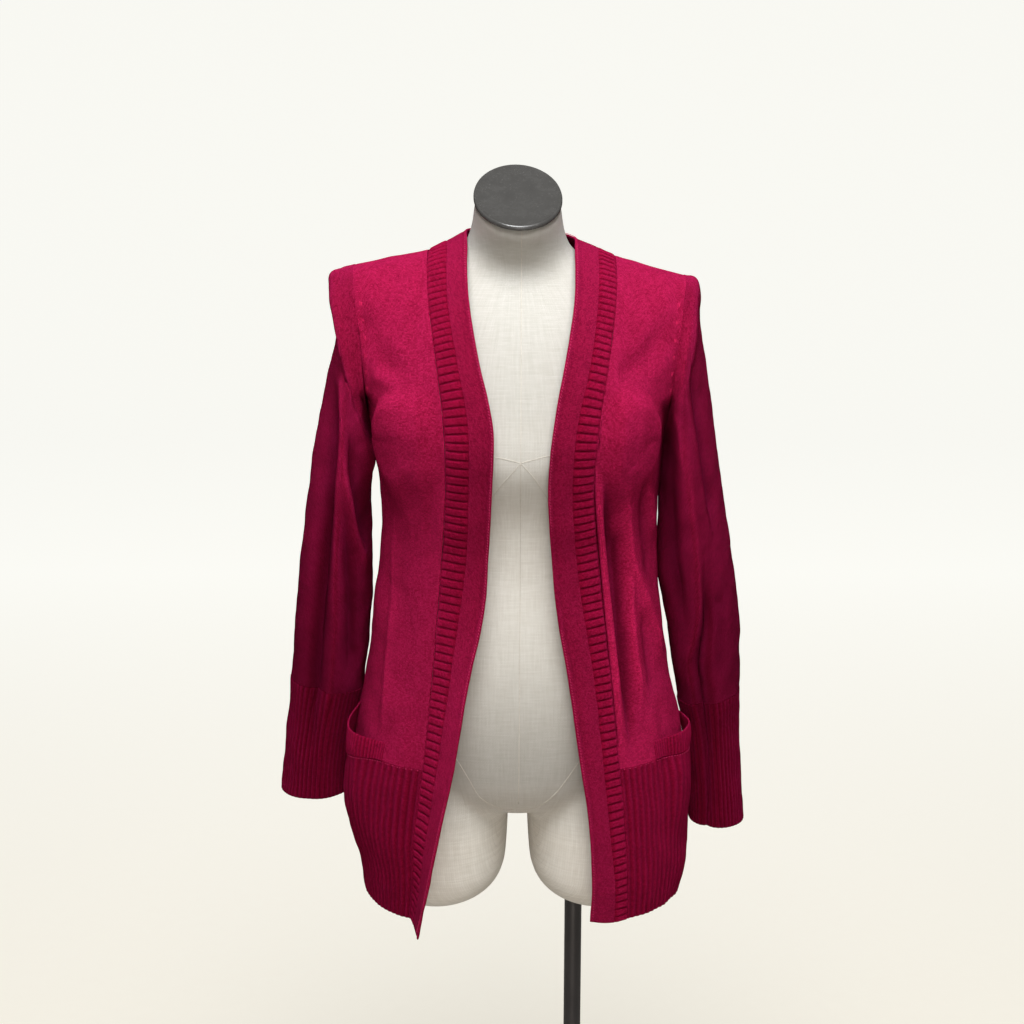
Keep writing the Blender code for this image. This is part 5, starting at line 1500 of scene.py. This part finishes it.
def row_at_height(height):
    """The net's row for a height below the armpit."""
    return np.where(height < RIB_TOP, (height - HEM_HEIGHT) / (RIB_TOP - HEM_HEIGHT) * HEM_ROWS,
                    HEM_ROWS + (height - RIB_TOP) / (ARMPIT_HEIGHT - RIB_TOP) * BODY_ROWS)


def column_at_share(share):
    return BAND + PANEL_COLUMNS * (POCKET_START + share * (1 - POCKET_START))


for side in ("right", "left"):
    ribs = round(0.112 / POCKET_RIB)
    share = np.linspace(MOUTH_FROM - 0.03, MOUTH_TO, ribs * 7 + 1)[None, :]
    phase = np.arange(ribs * 7 + 1)[None, :] / 7
    level = spread(0.0, 1.0, 16, 0.06, 0.09)[:, None]
    bottom = RIB_TOP + MOUTH_SEAM - pocket_sag(side, share, RIB_TOP)
    top = RIB_TOP + POCKET_BAND_HEIGHT + POCKET_PEAK[side] * share ** 3
    height = mix(bottom, top, level)
    points, normals = front_surface(side, row_at_height(height), column_at_share(share) + 0 * height)
    flush = ease(0.02, 0.22, share) * (1 - ease(0.80, 0.98, share)) * (1 - level) ** 2
    lift = mix(JERSEY + SEAM_GAP, 0.0006, flush)
    lift = lift + pocket_bulge(side, share, height) + MOUTH_LEAN * np.sin(math.pi * share) * level
    points = points + normals * lift[..., None]
    rib = upright_rib(phase) + 0 * level
    ends = mix(MOUTH_END_THIN, 1.0, ease(0.0, 0.2, share))
    relief = POCKET_RIB_DEPTH * rib * ends
    # Painted shade in the grooves of the mouth's ribbing.
    piece = cloth_piece(side + "_pocket_band_ribs", points, side_sign(side),
                        POCKET_BAND_CLOTH - POCKET_RIB_DEPTH, rib_wool,
                        ((0.007, 0.10), "seam", "seam", "free"), relief=relief, rib=0.40 + 0.60 * rib)
    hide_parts(side + "_pocket_band")

    share = spread(BAG_FROM, BAG_TO, 44, 0.02, 0.02)[None, :]
    down = spread(0.0, 1.0, 44, 0.02, 0.02)[:, None]
    height = mix(RIB_TOP - BAG_DROP, POCKET_FLOOR, down) + 0 * share
    points, normals = front_surface(side, row_at_height(height), column_at_share(share) + 0 * height)
    against = pocket_bulge(side, share, height) - BAG_CLOTH - BAG_CLEARANCE
    free = -panel_dent(column_at_share(share), RIB_TOP) - BAG_SLACK * np.sin(math.pi * share)
    hang = np.minimum(against, mix(free, against, down ** 3))
    points = points + normals * hang[..., None]
    bag = cloth_piece(side + "_pocket_bag_knit", points, -side_sign(side), BAG_CLOTH, jersey_wool,
                      ("seam", "seam", "seam", "seam"), normals=normals)
    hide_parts(side + "_pocket_bag")


# ------------------------------------------------------------------ sleeves
# Long plain jersey sleeves set into the armholes with a slightly raised head. They hang a little away from
# the body, empty, so the cloth falls in on itself in long creases.
ARMHOLE_GAP = 0.00015
SLEEVE_GRID = (168, 132)
SleeveSection = namedtuple("SleeveSection", "outer_x outer_z inner_x inner_z centre_y half_depth")
SLEEVES = {
    "right": [
        SleeveSection(0.1975, 1.3520, 0.1715, 1.180, 0.001, 0.0610),
        SleeveSection(0.2010, 1.3375, 0.1725, 1.172, 0.003, 0.0645),
        SleeveSection(0.2015, 1.3120, 0.1728, 1.158, 0.005, 0.0660),
        SleeveSection(0.2125, 1.2450, 0.1722, 1.125, 0.008, 0.0660),
        SleeveSection(0.2255, 1.1700, 0.1712, 1.080, 0.012, 0.0630),
        SleeveSection(0.2375, 1.0900, 0.1715, 1.030, 0.017, 0.0580),
        SleeveSection(0.2495, 1.0200, 0.1735, 0.975, 0.022, 0.0530),
        SleeveSection(0.2615, 0.9400, 0.1825, 0.912, 0.028, 0.0480),
        SleeveSection(0.2655, 0.8530, 0.1945, 0.842, 0.034, 0.0420),
    ],
    "left": [
        SleeveSection(0.1955, 1.3640, 0.1715, 1.180, 0.001, 0.0610),
        SleeveSection(0.2086, 1.3540, 0.1730, 1.172, 0.003, 0.0645),
        SleeveSection(0.1988, 1.3080, 0.1740, 1.158, 0.005, 0.0660),
        SleeveSection(0.2135, 1.2450, 0.1745, 1.125, 0.008, 0.0660),
        SleeveSection(0.2290, 1.1700, 0.1735, 1.080, 0.012, 0.0630),
        SleeveSection(0.2430, 1.0900, 0.1725, 1.030, 0.017, 0.0580),
        SleeveSection(0.2545, 1.0200, 0.1735, 0.975, 0.022, 0.0530),
        SleeveSection(0.2640, 0.9400, 0.1795, 0.915, 0.029, 0.0480),
        SleeveSection(0.2705, 0.8680, 0.1880, 0.856, 0.038, 0.0420),
    ],
}
SLEEVE_CREASES = [
    Crease([(-0.196, 1.315), (-0.194, 1.259), (-0.193, 1.231), (-0.195, 1.184), (-0.200, 1.136),
            (-0.204, 1.088),
            (-0.208, 1.039), (-0.211, 0.987), (-0.214, 0.934), (-0.220, 0.879), (-0.226, 0.824),
            (-0.231, 0.740)],
           0.0052, 0.0036, 0.0060, 1.3),
    Crease([(-0.210, 1.285), (-0.205, 1.229), (-0.205, 1.183), (-0.210, 1.134), (-0.215, 1.084),
            (-0.220, 1.034),
            (-0.225, 0.984), (-0.230, 0.933), (-0.236, 0.879), (-0.242, 0.815), (-0.246, 0.730)],
           -0.0125, 0.0110, 0.0066, 1.8),
    Crease([(-0.195, 1.195), (-0.194, 1.136), (-0.190, 1.101), (-0.186, 1.068), (-0.180, 1.037),
            (-0.177, 1.000)],
           0.0054, 0.0042, 0.0046, 1.3),
    Crease([(-0.188, 1.205), (-0.187, 1.147), (-0.183, 1.109), (-0.178, 1.074), (-0.174, 1.025)], -0.0095,
           0.0050, 0.0062, 1.7),
    Crease([(-0.196, 1.110), (-0.195, 1.037), (-0.193, 0.983), (-0.195, 0.930), (-0.200, 0.860)], -0.0078,
           0.0090, 0.0095, 1.9),
    Crease([(-0.174, 1.245), (-0.179, 1.212), (-0.180, 1.192), (-0.178, 1.167), (-0.175, 1.141),
            (-0.172, 1.100)],
           0.0045, 0.0048, 0.0042, 1.5),
    Crease([(0.190, 1.330), (0.185, 1.292), (0.182, 1.264), (0.182, 1.235), (0.183, 1.190)], 0.0028, 0.0040,
           0.0040, 1.5),
    Crease([(0.170, 1.240), (0.178, 1.213), (0.183, 1.194), (0.188, 1.160), (0.193, 1.124), (0.198, 1.088),
            (0.203, 1.050), (0.207, 1.011), (0.210, 0.983), (0.209, 0.952), (0.206, 0.922), (0.203, 0.900),
            (0.207, 0.868), (0.212, 0.820)], 0.0060, 0.0060, 0.0044, 1.3),
    Crease([(0.176, 1.210), (0.175, 1.170), (0.176, 1.129), (0.178, 1.082), (0.182, 1.032), (0.189, 0.985),
            (0.195, 0.930)],
           -0.0080, 0.0080, 0.0070, 1.8),
    Crease([(0.184, 1.295), (0.193, 1.242), (0.199, 1.207), (0.206, 1.171), (0.213, 1.134), (0.219, 1.102),
            (0.227, 1.045)],
           -0.0080, 0.0044, 0.0058, 1.7),
    Crease([(0.210, 1.040), (0.213, 1.005), (0.215, 0.980), (0.215, 0.949), (0.211, 0.923), (0.209, 0.900),
            (0.213, 0.873), (0.217, 0.843), (0.224, 0.793), (0.228, 0.739), (0.229, 0.670), (0.230, 0.600)],
           -0.0115, 0.0038, 0.0080, 1.5),
    Crease([(0.232, 1.000), (0.238, 0.940), (0.240, 0.870)], -0.0030, 0.0100, 0.0100, 2.0),
]
# Where a sleeve hangs against the body it bows towards it.
Roll = namedtuple("Roll", "top bottom angle width height")
INNER_ROLLS = {"right": Roll(1.205, 0.935, 168.0, 42.0, 0.0098), "left": Roll(1.215, 1.070, 168.0, 40.0,
        0.0068)}
SLEEVE_BACK_FOLDS = [
    Fold(-0.206, 1.260, -0.222, 0.900, 0.003, 0.0100, 0.0044, 0.2),
    Fold(-0.190, 1.140, -0.240, 1.050, -0.004, 0.0080, -0.0039, 0.2),
    Fold(-0.188, 1.060, -0.244, 1.000, 0.004, 0.0070, 0.0036, 0.2),
    Fold(-0.238, 1.000, -0.236, 0.870, 0.002, 0.0080, -0.0034, 0.0),
    Fold(0.202, 1.250, 0.226, 0.890, -0.003, 0.0100, 0.0047, 0.2),
    Fold(0.188, 1.130, 0.240, 1.060, 0.004, 0.0080, -0.0039, 0.2),
    Fold(0.186, 1.050, 0.246, 0.990, -0.004, 0.0070, 0.0036, 0.2),
    Fold(0.244, 1.010, 0.240, 0.870, 0.002, 0.0080, -0.0034, 0.0),
]


def sleeve_ring(side, section):
    """A section of the sleeve, from its outer point round the front, the inner point and the back."""
    outer = np.array([side_sign(side) * section.outer_x, section.centre_y, section.outer_z])
    inner = np.array([side_sign(side) * section.inner_x, section.centre_y, section.inner_z])
    turn = math.pi * np.arange(2 * ARMHOLE_ROWS)[:, None] / ARMHOLE_ROWS
    return (outer + inner) / 2 + (outer - inner) / 2 * np.cos(turn) - [0.0, section.half_depth,
            0.0] * np.sin(turn)


def armhole_share(k):
    """How far up the armhole a point of the sleeve's first ring lies, and the armhole's depth there."""
    if k <= ARMHOLE_ROWS:
        return (ARMHOLE_ROWS - k) / ARMHOLE_ROWS, -ARMHOLE_DEPTH_FRONT
    return (k - ARMHOLE_ROWS) / ARMHOLE_ROWS, ARMHOLE_DEPTH_BACK


UNDERARM_BELOW = 0.15
HEAD_ABOVE = 0.55


def sleeve_head(side):
    """The sleeve's first ring lies along the armhole, and outside the body's wall at the underarm."""
    ring = []
    for k in range(2 * ARMHOLE_ROWS):
        share, depth = armhole_share(k)
        point = armhole_point(side, share, depth)
        point[0] += side_sign(side) * (ARMHOLE_GAP + 2 * JERSEY * (1 - float(ease(UNDERARM_BELOW,
                HEAD_ABOVE, share))))
        ring.append(point)
    return np.array(ring)


HALF_STARTS = -0.15
HALF_FULL = 0.35


def tube_creases(points, u):
    """The creases in the front half of a sleeve."""
    return crease_relief(SLEEVE_CREASES, points) * ease(HALF_STARTS, HALF_FULL,
            np.sin(np.pi * u / ARMHOLE_ROWS))


ROLL_RISES_OVER = 0.05
ROLL_SINKS_OVER = 0.10


def tube_surface(side, net, v, u, away=1.0):
    """A sleeve's surface with its folds, which start some way from its head."""
    sign = side_sign(side)
    points = on_net(net, v, u % (2 * ARMHOLE_ROWS), True)
    normals = net_normals(net, v, u, sign, True)
    back = ease(HALF_STARTS, HALF_FULL, -np.sin(np.pi * u / ARMHOLE_ROWS))
    out = tube_creases(points, u) + folds_at(SLEEVE_BACK_FOLDS, points) * back + unevenness(points)
    roll = INNER_ROLLS[side]
    level = ease(roll.top, roll.top - ROLL_RISES_OVER, points[..., 2]) * ease(roll.bottom,
            roll.bottom + ROLL_SINKS_OVER, points[..., 2])
    out += roll.height * level * np.exp(-((180.0 * u / ARMHOLE_ROWS - roll.angle) / roll.width) ** 2)
    moved = points + normals * (out * away)[..., None]
    moved[..., 1] += armpit_hollow(points)
    return moved


UPPER_ARM_SHADE = 0.76
WRIST_SHADE = 0.31


def tube_painted_shade(net, v, u):
    """Painted shade in the creases and armpit hollows with painted highlights on the crests, and painted
    shade deepening towards the wrist.
    """
    points = on_net(net, v, u % (2 * ARMHOLE_ROWS), True)
    tone = crease_shade_and_highlight(tube_creases(points, u) - ARMPIT_SHADE * crease_relief(ARMPIT_HOLLOWS, points))
    return tone * mix(UPPER_ARM_SHADE, WRIST_SHADE, ease(1.30, 0.90, points[..., 2]))


def body_normals_at_armhole(side, u):
    """Directions square to the body's cloth along the armhole, at the sleeve's columns."""
    half = ARMHOLE_ROWS
    turn = u % (2 * half)
    share = np.where(turn <= half, (half - turn) / half, (turn - half) / half)
    row = np.clip(HEM_ROWS + BODY_ROWS + half * share, 0, last_row - 0.1)
    front = net_normals(front_nets[side], row, np.full_like(row, last_column - 0.3), side_sign(side))
    back = net_normals(back_net, row, np.full_like(row, 0.3 if side == "right" else 29.7), 1.0)
    behind = (1 - ease(0.0, 0.8, turn) * (1 - ease(9.6, 10.4, turn))) * np.where(turn <= 0.8, 0.5, 1.0)
    behind = np.where(turn > 19.2, 0.5 + 0.5 * (20 - turn) / 0.8, behind)[..., None]
    normals = front * (1 - behind) + back * behind
    normals /= np.linalg.norm(normals, axis=-1, keepdims=True)
    return normals, ease(0.15, 0.40, share)


for side in ("right", "left"):
    net = np.array([sleeve_head(side)] + [sleeve_ring(side, section) for section in SLEEVES[side]])
    v = spread(0.0, 9.0, SLEEVE_GRID[0], 0.06, 0.03)[:, None]
    u = (2 * ARMHOLE_ROWS * np.arange(SLEEVE_GRID[1]) / SLEEVE_GRID[1])[None, :]
    points = tube_surface(side, net, v, u, ease(0.0, 0.6, v))
    body, share = body_normals_at_armhole(side, u)
    joined = ((1 - ease(0.0, 1.2, v)) * share)[..., None]
    normals = grid_normals(points, side_sign(side), True) * (1 - joined) + body * joined
    normals /= np.linalg.norm(normals, axis=-1, keepdims=True)
    piece = cloth_piece(side + "_sleeve_knit", points, side_sign(side), JERSEY, jersey_wool,
                        (None, None, "joined", "seam"), closed=True, normals=normals,
                        rib=tube_painted_shade(net, v, u))
    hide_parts(side + "_sleeve")


# ------------------------------------------------------------------ cuffs
# Deep cuffs in the same upright rib as the hem, drawn in a little so that the sleeve blouses over them;
# their ends are left open and soft.
CUFF_RIBS = 44
CUFF_SAMPLES = 6
CUFF_RIB_DEPTH = 0.0012
CUFFS = {
    "right": [
        SleeveSection(0.2650, 0.8527, 0.1945, 0.8417, 0.034, 0.0415),
        SleeveSection(0.2665, 0.8000, 0.2045, 0.7930, 0.038, 0.0360),
        SleeveSection(0.2705, 0.7400, 0.2105, 0.7350, 0.039, 0.0345),
        SleeveSection(0.2760, 0.6800, 0.2125, 0.6800, 0.039, 0.0340),
    ],
    "left": [
        SleeveSection(0.2700, 0.8677, 0.1880, 0.8557, 0.038, 0.0415),
        SleeveSection(0.2760, 0.8100, 0.2010, 0.8030, 0.040, 0.0365),
        SleeveSection(0.2820, 0.7600, 0.2075, 0.7560, 0.041, 0.0350),
        SleeveSection(0.2865, 0.7180, 0.2095, 0.7180, 0.041, 0.0345),
    ],
}
for side in ("right", "left"):
    net = np.array([sleeve_ring(side, section) for section in CUFFS[side]])
    v = spread(0.0, 3.0, 40, 0.03, 0.05)[:, None]
    columns = even_columns(net, 1.5, 0.0, 2.0 * ARMHOLE_ROWS - 1e-6, CUFF_RIBS * CUFF_SAMPLES + 1,
                           True)[0][:-1]
    u = columns[None, :]
    phase = np.arange(CUFF_RIBS * CUFF_SAMPLES)[None, :] / CUFF_SAMPLES
    rib = upright_rib(phase)
    points = tube_surface(side, net, v, u)
    # The cuff ribbing takes the sleeve's painted shade, lightened, on top of the painted shade in its
    # grooves.
    piece = cloth_piece(side + "_cuff_ribs", points, side_sign(side), RIBBING - CUFF_RIB_DEPTH, rib_wool,
                        (None, None, "seam", "free"), closed=True, relief=CUFF_RIB_DEPTH * rib,
                        rib=rib_groove_shade(rib) * tube_painted_shade(net, v, u) * 1.75)
    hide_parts(side + "_cuff")


# ------------------------------------------------------------------ linking stitches and fashioning marks
# Where the pieces are joined the linking yarn shows as a row of small pink loops: along the top of the hem
# ribbing, under the pocket bands and down the turned edge of the opening. Beside the armholes
# pairs of doubled stitches mark where the knitting was narrowed.
Loop = namedtuple("Loop", "length width height")
SEAM_LOOP = Loop(0.0024, 0.0011, 0.0008)
EDGE_LOOP = Loop(0.0026, 0.0010, 0.0007)
MARK_LOOP = Loop(0.0056, 0.0014, 0.0007)
LOOP_RINGS = 5
LOOP_SIDES = 6
loop_points, loop_faces = [], []


def add_loops(points, normals, along, loop):
    """Small rounded loops of yarn lying on the cloth."""
    along = along - normals * (along * normals).sum(-1, keepdims=True)
    along /= np.linalg.norm(along, axis=-1, keepdims=True)
    aside = np.cross(normals, along)
    for point, out, ahead, side_way in zip(points, normals, along, aside):
        first = sum(len(part) for part in loop_points)
        places = []
        for k in range(LOOP_RINGS):
            turn = math.pi * (k + 0.5) / LOOP_RINGS
            for j in range(LOOP_SIDES):
                round_turn = 2 * math.pi * j / LOOP_SIDES
                places.append(point - ahead * 0.5 * loop.length * math.cos(turn)
                              + math.sin(turn) * (0.5 * loop.width * math.cos(round_turn) * side_way
                                                  + 0.5 * loop.height * math.sin(round_turn) * out))
        loop_points.append(np.array(places))
        for k in range(LOOP_RINGS - 1):
            for j in range(LOOP_SIDES):
                a, b = first + k * LOOP_SIDES + j, first + k * LOOP_SIDES + (j + 1) % LOOP_SIDES
                loop_faces.append((a, b, b + LOOP_SIDES, a + LOOP_SIDES))
        loop_faces.append(tuple(range(first + LOOP_SIDES - 1, first - 1, -1)))
        last = first + (LOOP_RINGS - 1) * LOOP_SIDES
        loop_faces.append(tuple(range(last, last + LOOP_SIDES)))


def add_yarn_piece(name, dark, light):
    """Gathers the loops laid so far into one piece, and starts afresh."""
    mesh = bpy.data.meshes.new(name)
    mesh.from_pydata(np.concatenate(loop_points).tolist(), [], loop_faces)
    mesh.shade_smooth()
    loop_points.clear()
    loop_faces.clear()
    yarn, shader, tree = new_material(name + "_yarn", 0.85)
    place = add_node(tree, "ShaderNodeTexCoord").outputs["Object"]
    noise = add_node(tree, "ShaderNodeTexNoise", {"Vector": place, "Scale": 500.0, "Detail": 2.0})
    tree.links.new(blend_colours(tree, noise.outputs["Fac"], dark, light), shader.inputs["Base Color"])
    add_bump(tree, shader, noise.outputs["Fac"], 0.0002)
    shader.inputs["Specular IOR Level"].default_value = 0.1
    piece = new_piece(name, mesh, yarn)
    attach(piece, "root")
    return piece


def thinned(points, pitch):
    """Numbers of the points that lie a pitch apart along a line."""
    length = np.concatenate([[0.0], np.cumsum(np.linalg.norm(np.diff(points, axis=0), axis=1))])
    return np.interp(np.arange(pitch, length[-1] - pitch, pitch), length, np.arange(len(points)))


def add_loop_row(points, normals, pitch, loop, slant=0.0):
    """A row of loops along a line of points, each turned by the slant."""
    places = thinned(points, pitch)
    low = np.floor(places).astype(int)
    part = (places - low)[:, None]
    along = np.gradient(points, axis=0)[low]
    spots = points[low] * (1 - part) + points[low + 1] * part
    out = normals[low]
    aside = np.cross(out, along)
    add_loops(spots, out, along * math.cos(slant) + aside * math.sin(slant), loop)


for side in ("right", "left"):
    u = np.linspace(BAND + 0.15, last_column - 0.1, 300)
    points, normals = front_surface(side, np.full(300, float(HEM_ROWS)), u)
    share = pocket_share(u)
    bulge = pocket_bulge(side, share, RIB_TOP)
    step = mix(0.0022, 0.0030, ease(-0.05, 0.05, share))
    points = points + normals * (bulge + step)[:, None]
    points[:, 2] -= pocket_sag(side, share, RIB_TOP) + 0.0008
    add_loop_row(points, normals, 0.0036, SEAM_LOOP)
u = np.linspace(0.2, 29.8, 700)
points, normals = back_surface(np.full(700, float(HEM_ROWS)), u)
add_loop_row(points + normals * 0.0022, normals, 0.0036, SEAM_LOOP)

edge_rows = np.interp(np.arange(0.006, band_length[-1] - 0.006, 0.001), band_length, fine_rows)
points = on_net(band_net, edge_rows, np.full(len(edge_rows), 0.16))
normals = net_normals(band_net, edge_rows, np.full(len(edge_rows), 0.16), 1.0)
add_loop_row(points + normals * (RIBBING - 0.0001), normals, 0.0034, EDGE_LOOP, 0.6)

stitches = add_yarn_piece("linking_stitches", (0.34, 0.008, 0.050), (0.70, 0.040, 0.155))

FRONT_MARKS = {"left": [1.335, 1.318, 1.299, 1.280, 1.262, 1.243, 1.224, 1.206],
               "right": [1.332, 1.315, 1.296, 1.278, 1.260, 1.241]}
for side in ("right", "left"):
    heights = np.array(FRONT_MARKS[side])
    fine_v = np.linspace(14.0, 22.5, 400)
    for column in (last_column - 0.75, last_column - 1.05):
        line, line_normals = front_surface(side, fine_v, np.full(400, column))
        picked = np.interp(heights[::-1], line[:, 2], np.arange(400)).astype(int)
        upward = np.gradient(line, axis=0)[picked]
        add_loops(line[picked] + line_normals[picked] * JERSEY, line_normals[picked], upward, MARK_LOOP)

marks = add_yarn_piece("fashioning_marks", (0.30, 0.005, 0.036), (0.66, 0.014, 0.100))


# ------------------------------------------------------------------ the cut
# Every knitted piece as it came off the machine, laid flat: its width and length, and its area where shaping
# leaves it less than a rectangle. The tubes are cut open along their underarm seam.
Cut = namedtuple("Cut", "piece width length area held rests_on")
